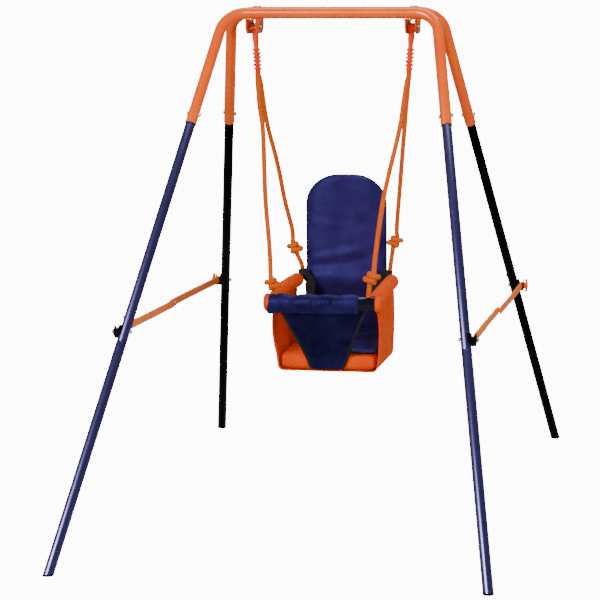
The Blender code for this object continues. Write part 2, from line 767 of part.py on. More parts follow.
def make_wing_knob(leg, base, out):
    """A hand nut: a hub with a wing on each side."""
    name = leg.side + "_wing_knob"
    knob = rod(name, base, base + out * KNOB_HUB_LENGTH, KNOB_HUB, KNOB_PLASTIC, sides=16)
    reach = KNOB_SPAN / 2 - KNOB_TIP
    outline = []
    for centre, start in ((reach, -90), (-reach, 90)):
        for step in range(7):
            angle = math.radians(start + 30 * step)
            outline.append((centre + KNOB_TIP * math.cos(angle), KNOB_TIP * math.sin(angle)))
    wing_at = base + out * (KNOB_HUB_LENGTH * 0.62)
    wings = plate(name + "_wings", outline, KNOB_PLATE, wing_at, X_AXIS, (0, 0.45, 1), KNOB_PLASTIC)
    join(knob, wings)
    drill(knob, base - out * KNOB_HUB_LENGTH, base + out * KNOB_HUB_LENGTH * 2, BOLT)


def knot(centre, outward):
    """An overhand knot's centre line, from the strand above it, on the outer side, to the strand below."""
    unit = ROPE * KNOT_SQUEEZE * KNOT_SPACING
    shape = [(-0.5, 0, 1.7), (-0.5, 0, 0.8), (-0.5, 0, 0), (-0.5, 0, -0.85)]
    shape += [(-0.45, -0.45, -1.35), (-0.32, -0.95, -1.05)]
    for step in range(KNOT_TURN_STEPS + 1):
        turn = math.radians(-100 + 360 * step / KNOT_TURN_STEPS)
        rise = -0.75 + 1.5 * step / KNOT_TURN_STEPS
        shape.append((1.55 * math.cos(turn), 1.1 * math.sin(turn), rise))
    shape += [(0.15, -0.95, 1.1), (0.45, -0.5, 1.35)]
    shape += [(0.5, 0, 0.85), (0.5, 0, 0), (0.5, 0, -0.8), (0.5, 0, -1.7)]
    return [centre + unit * Vector((-outward * x, y, z)) for x, y, z in shape]


# Each rope's own points, by hand: the front strand down to its knot, the hidden run through the bar and the
# arm, and the rear strand down to its knot. They are written with x outwards. A strand's third number is how
# far it lies below the pivot, and the others' is how far above the seat's underside.
FRONT_STRAND = {
    "left": [(0.1715, -0.0150, 0.1230), (0.1645, -0.0300, 0.1750), (0.1530, -0.0490, 0.2350),
             (0.1400, -0.0930, 0.3740), (0.1245, -0.1270, 0.4830)],
    "right": [(0.1710, -0.0150, 0.1230), (0.1665, -0.0270, 0.1600), (0.1590, -0.0490, 0.2280),
              (0.1330, -0.0930, 0.3630), (0.1210, -0.1290, 0.4730)],
}
REAR_STRAND = {
    "left": [(0.1712, 0.0160, 0.1230), (0.1640, 0.0485, 0.2170), (0.1470, 0.0830, 0.3150),
             (0.1352, 0.1130, 0.4070), (0.1245, 0.1400, 0.4730)],
    "right": [(0.1700, 0.0160, 0.1300), (0.1600, 0.0440, 0.1990), (0.1510, 0.0680, 0.2660),
              (0.1391, 0.1010, 0.3580), (0.1255, 0.1400, 0.4600)],
}
FRONT_KNOT = {"left": (0.1125, -0.150, 0.2080), "right": (0.1125, -0.150, 0.2250)}
REAR_KNOT = {"left": (0.1195, 0.150, 0.2540), "right": (0.1195, 0.150, 0.2720)}
BAR_RUN = [(0.1045, -0.1462, 0.1840), (0.1050, -0.1450, 0.1760), (0.1072, -0.1385, 0.1690)]
ARM_RUN = [(0.1135, -0.1235, 0.1685), (0.1162, -0.0850, 0.1730), (0.1170, -0.0300, 0.1765),
           (0.1160, 0.0500, 0.1785), (0.1130, 0.1480, 0.1790)]
REAR_RUN = [(0.1095, 0.1600, 0.1845), (0.1050, 0.1660, 0.1970), (0.1065, 0.1630, 0.2130)]


def on_seat(point, hand):
    """A point whose height is measured up from the underside of the seat."""
    return at(hand * point[0], point[1], SEAT_Z + point[2])


def rope_route(side):
    """Centre line and thickness of one rope, both its ends at the hanger's underside."""
    hand = SIDES[side]

    def hung(point):
        return at(hand * point[0], point[1], PIVOT_Z - point[2])

    end_x = HANGER_X - HANGER_LEAN
    end_z = PIVOT_Z - HANGER_LENGTH - 2 * SEAT_GAP
    front_end = at(hand * end_x, -ROPE_SPREAD / 2, end_z)
    rear_end = at(hand * end_x, ROPE_SPREAD / 2, end_z)
    drop = Vector((0, 0, -ROPE))
    front_knot = knot(on_seat(FRONT_KNOT[side], hand), hand)
    rear_knot = knot(on_seat(REAR_KNOT[side], hand), hand)
    front = [front_end, front_end + drop] + [hung(point) for point in FRONT_STRAND[side]]
    rear = [rear_end, rear_end + drop] + [hung(point) for point in REAR_STRAND[side]]
    hidden = [on_seat(point, hand) for point in BAR_RUN + ARM_RUN + REAR_RUN]
    controls = front + front_knot + hidden + rear_knot[::-1] + rear[::-1]
    knotted = front_knot[1:-1] + rear_knot[1:-1]
    points, radii = [], []
    for point in smooth_route(controls, ROPE_STEP):
        points.append(point)
        radii.append(KNOT_SQUEEZE if near_any(point, knotted) else 1.0)
    return points, radii


def near_any(point, places):
    return any((point - place).length < ROPE * 0.3 for place in places)


def make_rope(side):
    points, radii = rope_route(side)
    return swept(side + "_rope", points, ROPE, ROPE_FIBRE, radii=radii, sides=8)


def rope_passage(name, side, start_y, end_y):
    """A fatter copy of the stretch of rope below its knots, between two depths, for cutting its way through."""
    points, _ = rope_route(side)
    top = SEAT_Z + PASSAGE_ABOVE
    low = [point for point in points if start_y < point.y - PLANE_Y < end_y and point.z < top]
    return swept(name, low, ROPE + PASSAGE_FIT, None, sides=10)


def make_front_bar():
    height = SEAT_Z + BAR_ABOVE
    centre = at(0, BAR_Y, height)

    def capsule(name, inset, material):
        radius = BAR_TUBE / 2 - inset
        reach = BAR_HALF_LENGTH - inset
        cap = radius * 0.62
        ends = [(0.0, 0.0), (0.0, 0.42), (0.12, 0.70), (0.40, 0.91), (1.0, 1.0)]
        profile = [(-reach + cap * rise, radius * wide) for rise, wide in ends]
        profile += [(reach - cap * rise, radius * wide) for rise, wide in reversed(ends)]
        return turned(name, profile, centre, X_AXIS, material, sides=16)

    passage = (BAR_Y - PASSAGE_AHEAD, BAR_Y + PASSAGE_BEHIND)
    bar = capsule("front_bar", 0, BAR_PLASTIC)
    cut(bar, capsule("front_bar_inside", BAR_WALL, None))
    for side in SIDES:
        cut(bar, rope_passage("front_bar_" + side + "_hole", side, *passage))

    middle = (SLEEVE_LEFT + SLEEVE_RIGHT) / 2
    length = SLEEVE_RIGHT - SLEEVE_LEFT
    count = 9
    profile = [(-length / 2, 0.0)]
    for step in range(count + 1):
        ripple = 0.0004 * math.sin(step * 2.3) + 0.0003 * math.sin(step * 3.1)
        profile.append((length * (step / count - 0.5), SLEEVE_OUTER / 2 - 0.0007 + ripple))
    profile.append((length / 2, 0.0))
    sleeve = turned("front_bar_sleeve", profile, at(middle, BAR_Y, height), X_AXIS, DARK_CLOTH, sides=16)
    cut(sleeve, rod(
        "front_bar_sleeve_bore", at(SLEEVE_LEFT - 0.01, BAR_Y, height), at(SLEEVE_RIGHT + 0.01, BAR_Y, height),
        BAR_TUBE / math.cos(math.pi / 16) + 2 * SEAT_GAP, sides=16,
    ))
    cut(sleeve, rope_passage("front_bar_sleeve_hole", "left", *passage))
    return bar


def make_arm_sleeve(side):
    """The padded tube of cloth along the arm, with the rope inside it."""
    hand = SIDES[side]
    route = smooth_route([on_seat(point, hand) for point in ARM_RUN], 0.06)
    sleeve = swept(side + "_arm_sleeve", route, ARM_OUTER, ORANGE_CLOTH, sides=16, capped=False)
    hollow(sleeve, (ARM_OUTER - ARM_BORE) / 2)


def arm_underside(y):
    """Height and outward place of the arm sleeve's lowest line at a depth from the pivot plane."""
    run = [Vector(point) for point in ARM_RUN]
    for start, end in zip(run, run[1:]):
        if y <= end.y:
            break
    share = (y - start.y) / (end.y - start.y)
    centre = start.lerp(end, min(1, max(0, share)))
    return centre.x, SEAT_Z + centre.z - ARM_OUTER / 2 - 3 * SEAT_GAP


def make_seat_cover():
    """The outer cloth: two side panels and the thick base between them, as one U."""
    inner_floor = SEAT_Z + BASE_THICK

    def side_lines(y_share):
        """Outer and inner line across the seat at one depth, from the left top round to the right top."""
        def depth(z):
            rise = max(0.0, z - inner_floor) / (SIDE_PANEL_HEIGHT - BASE_THICK)
            front = BASE_FRONT + (SIDE_FRONT_TOP - BASE_FRONT) * min(1.0, rise) ** 0.8
            return front + (BASE_REAR - front) * y_share

        top_x, top_z = arm_underside(depth(SEAT_Z + SIDE_PANEL_HEIGHT))
        outer, inner = [], []
        levels = [0.0, 0.25, 0.5, 0.75, 1.0]
        for level in levels:
            bulge = SIDE_SPREAD * math.sin(math.pi * level)
            x = top_x + SIDE_CLOTH / 2 + (BASE_HALF_WIDTH - top_x) * level + bulge
            z = top_z + (SEAT_Z + BASE_THICK * 0.55 - top_z) * level
            outer.append((x, z))
            inner.append((x - SIDE_CLOTH, top_z + (inner_floor + 0.004 - top_z) * level))
        for turn in (30, 60, 90):
            angle = math.radians(turn)
            edge = BASE_HALF_WIDTH + SIDE_CLOTH / 2
            x = edge - BASE_CORNER * (1 - math.cos(angle))
            z = SEAT_Z + BASE_CORNER * (1 - math.sin(angle))
            outer.append((x, z))
            inner.append((edge - SIDE_CLOTH - 0.004 * (turn / 90), inner_floor + 0.004 * (1 - turn / 90)))
        for share in (0.66, 0.33):
            outer.append((outer[7][0] * share, SEAT_Z))
            inner.append((inner[7][0] * share, inner_floor))
        return depth, outer, inner

    def shape(u, v, w):
        station = round(u * 2 * COVER_STATIONS)
        hand = -1 if station < COVER_STATIONS else 1
        index = station if station < COVER_STATIONS else 2 * COVER_STATIONS - station
        depth, outer, inner = side_lines(v)
        if index == COVER_STATIONS:
            low, high = (0, SEAT_Z), (0, inner_floor)
        else:
            low, high = outer[index], inner[index]
        x = low[0] + (high[0] - low[0]) * w
        z = low[1] + (high[1] - low[1]) * w
        return at(hand * x, depth(z), z)

    cover = soft_block("seat_cover", (2 * COVER_STATIONS, 8, 1), shape, ORANGE_CLOTH)
    board_low = SEAT_Z + BOARD_ABOVE
    board_rear = BASE_REAR - 0.004
    board = box(
        "seat_board",
        at(-BOARD_HALF_WIDTH, BASE_FRONT + 0.008, board_low),
        at(BOARD_HALF_WIDTH, board_rear, board_low + BOARD_THICK),
        BOARD_PLASTIC,
    )
    round_edges(board, 0.004)
    gap = SEAT_GAP * 2
    cut(cover, box(
        "seat_cover_pocket",
        at(-BOARD_HALF_WIDTH - gap, BASE_FRONT + 0.008 - gap, board_low - gap),
        at(BOARD_HALF_WIDTH + gap, BASE_REAR + 0.02, board_low + BOARD_THICK + gap),
    ))


def round_edges(obj, width):
    bevel = obj.modifiers.new("Rounded", "BEVEL")
    bevel.width = width
    bevel.segments = 2
    bevel.limit_method = "ANGLE"


def make_crotch_panel():
    """The cloth that hangs from the bar, narrows, and is sewn to the front of the base."""
    top_z = SEAT_Z + BAR_ABOVE - SLEEVE_OUTER / 2 - SEAT_GAP
    low_z = SEAT_Z + PANEL_LOW_ABOVE
    low_y = BASE_FRONT - PANEL_THICK / 2 - SEAT_GAP * 2

    def shape(u, v, w):
        x = u * 2 - 1
        wide = PANEL_TOP_HALF_WIDTH + (PANEL_LOW_HALF_WIDTH - PANEL_TOP_HALF_WIDTH) * v ** 0.92
        belly = 0.006 * math.sin(math.pi * v)
        fold = 0.0016 * math.sin(x * 7 + v * 3) * math.sin(math.pi * v)
        lean = min(1.0, v / 0.80)
        y = BAR_Y + (low_y - BAR_Y) * lean - belly * (1 - v) + fold * (1 - v)
        z = top_z + (low_z - top_z) * v
        return at(x * wide, y + PANEL_THICK * (w - 0.5), z)

    soft_block("crotch_panel", (8, 9, 1), shape, DARK_CLOTH)


def pad_line(distance):
    """Place, as depth and height, and the outward normal of the pad's back line, from its top down and forward."""
    top = SEAT_Z + PAD_TOP_ABOVE
    floor = SEAT_Z + BASE_THICK + SEAT_GAP
    back = PAD_FACE_Y + PAD_THICK
    straight = top - floor - PAD_BEND
    arc = PAD_BEND * math.pi / 2
    if distance < straight:
        return (back, top - distance), (-1, 0)
    if distance < straight + arc:
        angle = (distance - straight) / PAD_BEND
        y = back - PAD_BEND * (1 - math.cos(angle))
        z = floor + PAD_BEND * (1 - math.sin(angle))
        return (y, z), (-math.cos(angle), math.sin(angle))
    return (back - PAD_BEND - (distance - straight - arc), floor), (0, 1)


def make_back_pad():
    """One long pad: up the back with a round top, and forward over the base."""
    top = SEAT_Z + PAD_TOP_ABOVE
    floor = SEAT_Z + BASE_THICK + SEAT_GAP
    back = PAD_FACE_Y + PAD_THICK
    length = (top - floor - PAD_BEND) + PAD_BEND * math.pi / 2 + (back - PAD_BEND - PAD_FRONT_Y)

    def shape(u, v, w):
        x = u * 2 - 1
        # The first stretch of v is spent on the round top, where the outline turns fastest.
        if v < 0.25:
            angle = v / 0.25 * math.pi / 2
            distance = PAD_ROUND * (1 - math.cos(angle))
            wide = PAD_HALF_WIDTH * (0.20 + 0.80 * math.sin(angle))
        else:
            distance = PAD_ROUND + (length - PAD_ROUND) * (v - 0.25) / 0.75
            wide = PAD_HALF_WIDTH
        (y, z), (ny, nz) = pad_line(distance)
        edge = min(1.0, (1 - abs(x)) * 5) * min(1.0, v * 14) * min(1.0, (1 - v) * 14)
        crown = (1 - abs(x) ** 3)
        crease = 0.0012 * math.sin(distance * 95) * crown if distance < 0.33 else 0.0
        thick = PAD_RIM + (PAD_THICK - PAD_RIM - 0.0012) * (0.45 + 0.55 * crown) * edge + crease * edge
        # Both faces pull in at the rim, and the back face stays within the pad's own line.
        lift = (PAD_THICK - PAD_RIM) * 0.25 * (1 - edge)
        high = lift + thick
        out = lift + (high - lift) * w
        return at(x * wide, y + ny * out, z + nz * out)

    soft_block("back_pad", (12, 28, 1), shape, PAD_CLOTH)


WEBBING_RUN = [(0.1020, 0.1530, 0.2040), (0.0985, 0.1520, 0.1920), (0.0835, 0.1500, 0.1770),
               (0.0780, 0.1180, 0.1630), (0.0660, 0.0700, 0.1390), (0.0480, 0.0350, 0.0970),
               (0.0380, 0.0120, 0.0655)]


def make_webbing(side):
    """The black webbing that ties the back corner of the seat to its base."""
    hand = SIDES[side]
    run = smooth_route([on_seat(point, hand) for point in WEBBING_RUN], 0.02)
    count = len(run) - 1

    def shape(u, v, w):
        index = round(v * count)
        before, after = run[max(0, index - 1)], run[min(count, index + 1)]
        along = (after - before).normalized()
        turn = v ** 0.8
        across = Vector((hand * (1 - 0.45 * turn), 0.25 * turn, 0.72 * turn))
        across = (across - along * across.dot(along)).normalized()
        normal = across.cross(along)
        return run[index] + across * WEBBING_WIDTH * (u - 0.5) + normal * WEBBING_THICK * (w - 0.5)

    webbing = soft_block(side + "_side_webbing", (2, count, 1), shape, BLACK_WEBBING)
    notch = rope_passage(side + "_webbing_notch", side, WEBBING_PASSAGE_START, WEBBING_PASSAGE_END)
    cut(webbing, notch)


def hang_on(name, place, pieces):
    """An empty on a joint's axis that carries the pieces turning about it."""
    pivot = bpy.data.objects.new(name, None)
    PARTS.objects.link(pivot)
    pivot.location = place
    pivot.empty_display_size = 0.03
    bpy.context.view_layer.update()
    for piece in pieces:
        obj = bpy.data.objects[piece]
        world = obj.matrix_world.copy()
        obj.parent = pivot
        obj.matrix_parent_inverse = pivot.matrix_world.inverted()
        obj.matrix_world = world


def make_joint_empties():
    swing_pieces = ["front_bar", "front_bar_sleeve", "seat_cover", "seat_board", "crotch_panel", "back_pad"]
    rear_pieces = ["rear_top_tube"]
    for side in SIDES:
        swing_pieces += [side + tail for tail in ("_rope_hanger", "_rope", "_arm_sleeve", "_side_webbing")]
        leg = LEGS["rear_" + side]
        tails = ("_middle_tube", "_lower_tube", "_foot_plug", "_seam_bolt", "_hinge_block", "_brace_bolt")
        rear_pieces += [leg.name + tail for tail in tails]
        front = LEGS["front_" + side]
        plane = SIDES[side] * brace_plane()
        for pivot_leg, pieces in ((front, [side + "_brace_middle_bolt"]), (leg, [])):
            place = Vector((plane, pivot_leg.point(pivot_leg.brace).y, pivot_leg.point(pivot_leg.brace).z))
            half = side + "_" + pivot_leg.frame + "_brace_half"
            hang_on(half + "_pivot", place, [half] + pieces)
    hang_on("swing_pivot", at(0, 0, PIVOT_Z), swing_pieces)
    hang_on("fold_pivot", at(0, BAR_SPACING / 2, BAR_HEIGHT), rear_pieces)


clear_scene()
PARTS = new_collection("toddler_swing")
HELPERS = new_collection("cutters")

ORANGE_PAINT = make_material("orange_powder_coat", (0.86, 0.19, 0.02), 0.32)
NAVY_PAINT = make_material("navy_powder_coat", (0.010, 0.008, 0.070), 0.28)
BLACK_PAINT = make_material("black_powder_coat", (0.004, 0.004, 0.006), 0.35)
HANGER_PLASTIC = make_material("orange_moulded_plastic", (0.85, 0.09, 0.015), 0.40)
KNOB_PLASTIC = make_material("orange_knob_plastic", (0.86, 0.12, 0.02), 0.40)
BLACK_PLASTIC = make_material("black_moulded_plastic", (0.006, 0.006, 0.007), 0.45)
BAR_PLASTIC = make_material("navy_glossy_plastic", (0.008, 0.008, 0.050), 0.12)
BRIGHT_ZINC = make_material("zinc_plated_steel", (0.78, 0.78, 0.80), 0.25, 1.0)
ROPE_FIBRE = make_material("orange_braided_rope", (0.95, 0.20, 0.05), 0.75)
ORANGE_CLOTH = make_material("orange_woven_cloth", (0.98, 0.15, 0.02), 0.80)
DARK_CLOTH = make_material("dark_navy_cloth", (0.006, 0.008, 0.040), 0.80)
PAD_CLOTH = make_material("navy_pad_cloth", (0.030, 0.026, 0.150), 0.62)
BLACK_WEBBING = make_material("black_webbing", (0.004, 0.004, 0.004), 0.85)
BOARD_PLASTIC = make_material("seat_board_plastic", (0.02, 0.02, 0.02), 0.5)

LEGS = {frame + "_" + side: Leg(frame, side) for frame in ("front", "rear") for side in SIDES}
TOP_TUBES = {frame: make_top_tube(frame) for frame in ("front", "rear")}
LEG_TUBES = {name: make_leg(leg) for name, leg in LEGS.items()}
for side in SIDES:
    make_bracket(side)
    make_rope_hanger(side)
    make_brace(side)
    make_rope(side)
    make_arm_sleeve(side)
    make_webbing(side)
make_front_bar()
make_seat_cover()
make_crotch_panel()
make_back_pad()
make_joint_empties()
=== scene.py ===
import json
import math

import bpy
from mathutils import Matrix, Vector, noise


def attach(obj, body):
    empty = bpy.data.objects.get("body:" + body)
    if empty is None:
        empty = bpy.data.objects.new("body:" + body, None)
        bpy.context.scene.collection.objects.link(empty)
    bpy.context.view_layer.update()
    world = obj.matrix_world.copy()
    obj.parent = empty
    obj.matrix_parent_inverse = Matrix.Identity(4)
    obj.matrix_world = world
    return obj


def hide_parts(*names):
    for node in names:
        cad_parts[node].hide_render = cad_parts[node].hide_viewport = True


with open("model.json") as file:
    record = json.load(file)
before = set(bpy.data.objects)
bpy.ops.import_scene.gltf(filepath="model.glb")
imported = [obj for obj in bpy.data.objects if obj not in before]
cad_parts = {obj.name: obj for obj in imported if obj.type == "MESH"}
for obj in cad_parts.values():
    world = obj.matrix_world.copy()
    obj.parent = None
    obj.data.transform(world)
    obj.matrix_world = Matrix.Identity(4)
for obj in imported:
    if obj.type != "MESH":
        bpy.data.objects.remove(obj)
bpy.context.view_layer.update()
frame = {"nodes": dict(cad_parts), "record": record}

cadNodes = frame["nodes"]
bodyOf = {node: body for body, nodes in frame["record"]["behaviour"]["bodies"].items() for node in nodes}
xAxis = Vector((1, 0, 0))
zAxis = Vector((0, 0, 1))
hands = {"left": -1, "right": 1}
print("frame loaded,", len(cadNodes), "nodes")


# solved from the frame's own lines in the photograph: metres, degrees and millimetres
photoCamera = {"place": (0.9862, -5.5337, 1.2659), "yaw": 10.8734, "pitch": -8.1042, "roll": -0.3511,
               "lens": 148.5, "sensor": 36}


def makeCamera():
    yaw, pitch, roll = (math.radians(photoCamera[name]) for name in ("yaw", "pitch", "roll"))
    ahead = Vector((-math.sin(yaw) * math.cos(pitch), math.cos(yaw) * math.cos(pitch), math.sin(pitch)))
    level = Vector((math.cos(yaw), math.sin(yaw), 0))
    above = level.cross(ahead)
    right = level * math.cos(roll) + above * math.sin(roll)
    up = above * math.cos(roll) - level * math.sin(roll)
    data = bpy.data.cameras.new("photoCamera")
    data.lens = photoCamera["lens"]
    data.sensor_width = photoCamera["sensor"]
    data.dof.use_dof = False
    camera = bpy.data.objects.new("photoCamera", data)
    matrix = Matrix((right, up, -ahead)).transposed().to_4x4()
    matrix.translation = Vector(photoCamera["place"])
    camera.matrix_world = matrix
    bpy.context.scene.collection.objects.link(camera)
    bpy.context.scene.camera = camera


makeCamera()
print("camera made")


# lengths in metres, angles in degrees
meshing = {"merge": 2e-5, "turnedMerge": 3e-5, "copyMerge": 1e-5, "tip": 1e-5, "smooth": 35, "softSmooth": 60,
           "clothSmooth": 70, "copyBevel": 42, "rimBevel": 50, "flat": 2}


def nothingSelected():
    bpy.ops.object.select_all(action="DESELECT")


def chosen(piece):
    nothingSelected()
    piece.select_set(True)
    bpy.context.view_layer.objects.active = piece


def startRing(name, centre, along, diameter, around):
    # every tube and turned piece starts as one ring of points square to its run, and stays in edit mode
    nothingSelected()
    turn = Vector(along).to_track_quat("Z", "Y").to_euler()
    bpy.ops.mesh.primitive_circle_add(vertices=around, radius=diameter / 2, fill_type="NOTHING",
                                      location=centre, rotation=turn)
    piece = bpy.context.object
    piece.name = name
    bpy.ops.object.mode_set(mode="EDIT")
    bpy.ops.mesh.select_all(action="SELECT")
    return piece


def extrudeBy(move):
    bpy.ops.mesh.extrude_region_move(TRANSFORM_OT_translate={"value": move})


def resizeAt(centre, factor):
    bpy.ops.transform.resize(value=(factor, factor, factor), center_override=centre)


def smoothed(piece, angle):
    chosen(piece)
    bpy.ops.object.shade_smooth_by_angle(angle=math.radians(angle))


def closeUp(piece, merge=meshing["merge"], angle=meshing["smooth"]):
    # doubles merged, normals outwards, the object's place put into its mesh, smooth with crisp corners
    bpy.ops.object.mode_set(mode="EDIT")
    bpy.ops.mesh.select_all(action="SELECT")
    bpy.ops.mesh.remove_doubles(threshold=merge)
    bpy.ops.mesh.normals_make_consistent(inside=False)
    bpy.ops.object.mode_set(mode="OBJECT")
    chosen(piece)
    bpy.ops.object.transform_apply(location=True, rotation=True, scale=True)
    smoothed(piece, angle)


def applied(piece, kind, **settings):
    chosen(piece)
    modifier = piece.modifiers.new(kind.title(), kind)
    for name, value in settings.items():
        setattr(modifier, name, value)
    bpy.ops.object.modifier_apply(modifier=modifier.name)


def bevelled(piece, width, angle, segments=2):
    applied(piece, "BEVEL", width=width, segments=segments, limit_method="ANGLE",
            angle_limit=math.radians(angle))
    smoothed(piece, meshing["smooth"])


def softened(piece):
    # one level of subdivision, smooth all over
    applied(piece, "SUBSURF", levels=1, render_levels=1)
    bpy.ops.object.shade_smooth()


def turnedPiece(name, profile, origin, along, around):
    # profile: distance along the axis and radius there; a radius near nothing closes the end
    along = Vector(along).normalized()
    origin = Vector(origin)
    place, radius = profile[0][0], max(profile[0][1], meshing["tip"])
    piece = startRing(name, origin + along * place, along, radius * 2, around)
    for distance, wide in profile[1:]:
        wide = max(wide, meshing["tip"])
        extrudeBy(along * (distance - place))
        resizeAt(origin + along * distance, wide / radius)
        place, radius = distance, wide
    closeUp(piece, merge=meshing["turnedMerge"])
    return piece


def cadCopy(node, name, width):
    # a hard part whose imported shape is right: merged, its flats joined and its edges rounded
    piece = bpy.data.objects.new(name, cadNodes[node].data.copy())
    bpy.context.scene.collection.objects.link(piece)
    piece.data.materials.clear()
    chosen(piece)
    bpy.ops.object.mode_set(mode="EDIT")
    bpy.ops.mesh.select_all(action="SELECT")
    bpy.ops.mesh.customdata_custom_splitnormals_clear()
    bpy.ops.mesh.remove_doubles(threshold=meshing["copyMerge"])
    bpy.ops.mesh.dissolve_limited(angle_limit=math.radians(meshing["flat"]))
    bpy.ops.object.mode_set(mode="OBJECT")
    bevelled(piece, width, meshing["copyBevel"])
    return piece


def dress(piece, material, slot, nodes):
    piece.data.materials.clear()
    piece.data.materials.append(material)
    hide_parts(*nodes)
    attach(piece, bodyOf[nodes[0]])


def smoothRoute(points, step):
    # a Catmull-Rom curve through the points
    points = [Vector(point) for point in points]
    ends = [2 * points[0] - points[1]] + points + [2 * points[-1] - points[-2]]
    route = [points[0]]
    for before, start, end, after in zip(ends, ends[1:], ends[2:], ends[3:]):
        count = max(1, math.ceil((end - start).length / step))
        for index in range(1, count + 1):
            t = index / count
            route.append(0.5 * (2 * start + (end - before) * t
                                + (2 * before - 5 * start + 4 * end - after) * t ** 2
                                + (3 * start - before - 3 * end + after) * t ** 3))
    return route


def evenRoute(points, step):
    # the same line, stepped off in equal lengths
    fine = smoothRoute(points, step / 3)
    total = sum((b - a).length for a, b in zip(fine, fine[1:]))
    count = round(total / step)
    pace = total / count
    route, left = [fine[0]], pace
    for start, end in zip(fine, fine[1:]):
        length = (end - start).length
        run = 0.0
        while length - run >= left - 1e-12 and len(route) < count:
            run += left
            route.append(start.lerp(end, run / length))
            left = pace
        left -= length - run
    route.append(fine[-1])
    return route, total


def pointsAround(bevelSteps):
    return 4 + 2 * bevelSteps       # what a curve's round bevel gives


def tubeAlong(name, points, radii, bevelSteps):
    # a round tube along a line of points, one ring for each, made from a bevelled curve
    curve = bpy.data.curves.new(name, "CURVE")
    curve.dimensions = "3D"
    curve.bevel_depth = 1.0
    curve.bevel_resolution = bevelSteps
    curve.use_fill_caps = True
    spline = curve.splines.new("POLY")
    spline.points.add(len(points) - 1)
    for slot, point, radius in zip(spline.points, points, radii):
        slot.co = (*point, 1)
        slot.radius = radius
    piece = bpy.data.objects.new(name, curve)
    bpy.context.scene.collection.objects.link(piece)
    chosen(piece)
    bpy.ops.object.convert(target="MESH")
    return bpy.context.object


def gridPiece(name, columns, rows, flat, place):
    # a flat sheet laid out point by point; its UV map is in metres, so that a weave keeps its size
    nothingSelected()
    bpy.ops.mesh.primitive_grid_add(x_subdivisions=columns, y_subdivisions=rows, size=2, location=(0, 0, 0))
    piece = bpy.context.object
    piece.name = name
    layer = piece.data.uv_layers.active
    spots = [((vertex.co.x + 1) / 2, (vertex.co.y + 1) / 2) for vertex in piece.data.vertices]
    for loop in piece.data.loops:
        u, v = spots[loop.vertex_index]
        layer.data[loop.index].uv = (u * flat[0], v * flat[1])
    for vertex, (u, v) in zip(piece.data.vertices, spots):
        vertex.co = place(u, v)
    return piece


def blockPiece(name, cuts, flat, place):
    # a cube cut into even slices on each axis, then every point moved to its place
    nothingSelected()
    bpy.ops.mesh.primitive_cube_add(size=1, location=(0.5, 0.5, 0.5))
    piece = bpy.context.object
    piece.name = name
    bpy.ops.object.mode_set(mode="EDIT")
    for axis, count in enumerate(cuts):
        for step in range(1, count):
            plane, normal = [0, 0, 0], [0, 0, 0]
            plane[axis] = step / count
            normal[axis] = 1
            bpy.ops.mesh.select_all(action="SELECT")
            bpy.ops.mesh.bisect(plane_co=plane, plane_no=normal)
    bpy.ops.object.mode_set(mode="OBJECT")
    chosen(piece)
    bpy.ops.object.transform_apply(location=True, rotation=True, scale=True)
    layer = piece.data.uv_layers.active
    for loop in piece.data.loops:
        spot = piece.data.vertices[loop.vertex_index].co
        layer.data[loop.index].uv = (spot.x * flat[0], spot.y * flat[1] + spot.z * 0.02)
    for vertex in piece.data.vertices:
        vertex.co = place(*vertex.co)
    closeUp(piece, angle=meshing["softSmooth"])
    return piece


def wave(x, y, z, size):
    # smooth noise between -1 and 1 with features of about this size in metres
    return noise.noise(Vector((x, y, z)) / size)


def ease(value):
    value = min(1.0, max(0.0, value))
    return value * value * (3 - 2 * value)


def linearColor(hexText):
    channels = [int(hexText[start:start + 2], 16) / 255 for start in (1, 3, 5)]
    return tuple(c / 12.92 if c <= 0.04045 else ((c + 0.055) / 1.055) ** 2.4 for c in channels) + (1.0,)


def addNode(tree, kind, settings=None, inputs=None, stops=None):
    # inputs are plain values or sockets to link; stops are a ramp's: place from 0 to 1 and hex colour
    node = tree.nodes.new(kind)
    for name, value in (settings or {}).items():
        setattr(node, name, value)
    for name, value in (inputs or {}).items():
        if isinstance(value, bpy.types.NodeSocket):
            tree.links.new(value, node.inputs[name])
        else:
            node.inputs[name].default_value = value
    if stops:
        marks = node.color_ramp.elements
        while len(marks) < len(stops):
            marks.new(0.5)
        for mark, (place, color) in zip(marks, stops):
            mark.position = place
            mark.color = linearColor(color)
    return node


def newMaterial(name, **sockets):
    material = bpy.data.materials.new(name)
    material.use_nodes = True
    shader = material.node_tree.nodes["Principled BSDF"]
    for socket, value in sockets.items():
        shader.inputs[socket.replace("_", " ")].default_value = value
    return material, material.node_tree, shader


# the patterns: sizes and depths in millimetres, detail as the number of finer layers
def mottled(tree, spot, size, detail, deep, light, start=0.3, end=0.7):
    # two close shades in soft patches
    cloud = addNode(tree, "ShaderNodeTexNoise", None,
                    {"Vector": spot, "Scale": 1000 / size, "Detail": detail})
    return addNode(tree, "ShaderNodeValToRGB", None, {"Fac": cloud.outputs["Fac"]},
                   [(start, deep), (end, light)]).outputs["Color"]


def unevenGloss(tree, spot, size, detail, low, high, start=0.0, end=1.0):
    # a roughness that wanders between two values
    cloud = addNode(tree, "ShaderNodeTexNoise", None,
                    {"Vector": spot, "Scale": 1000 / size, "Detail": detail})
    return addNode(tree, "ShaderNodeMapRange", None,
                   {"Value": cloud.outputs["Fac"], "From Min": start, "From Max": end,
                    "To Min": low, "To Max": high}).outputs["Result"]


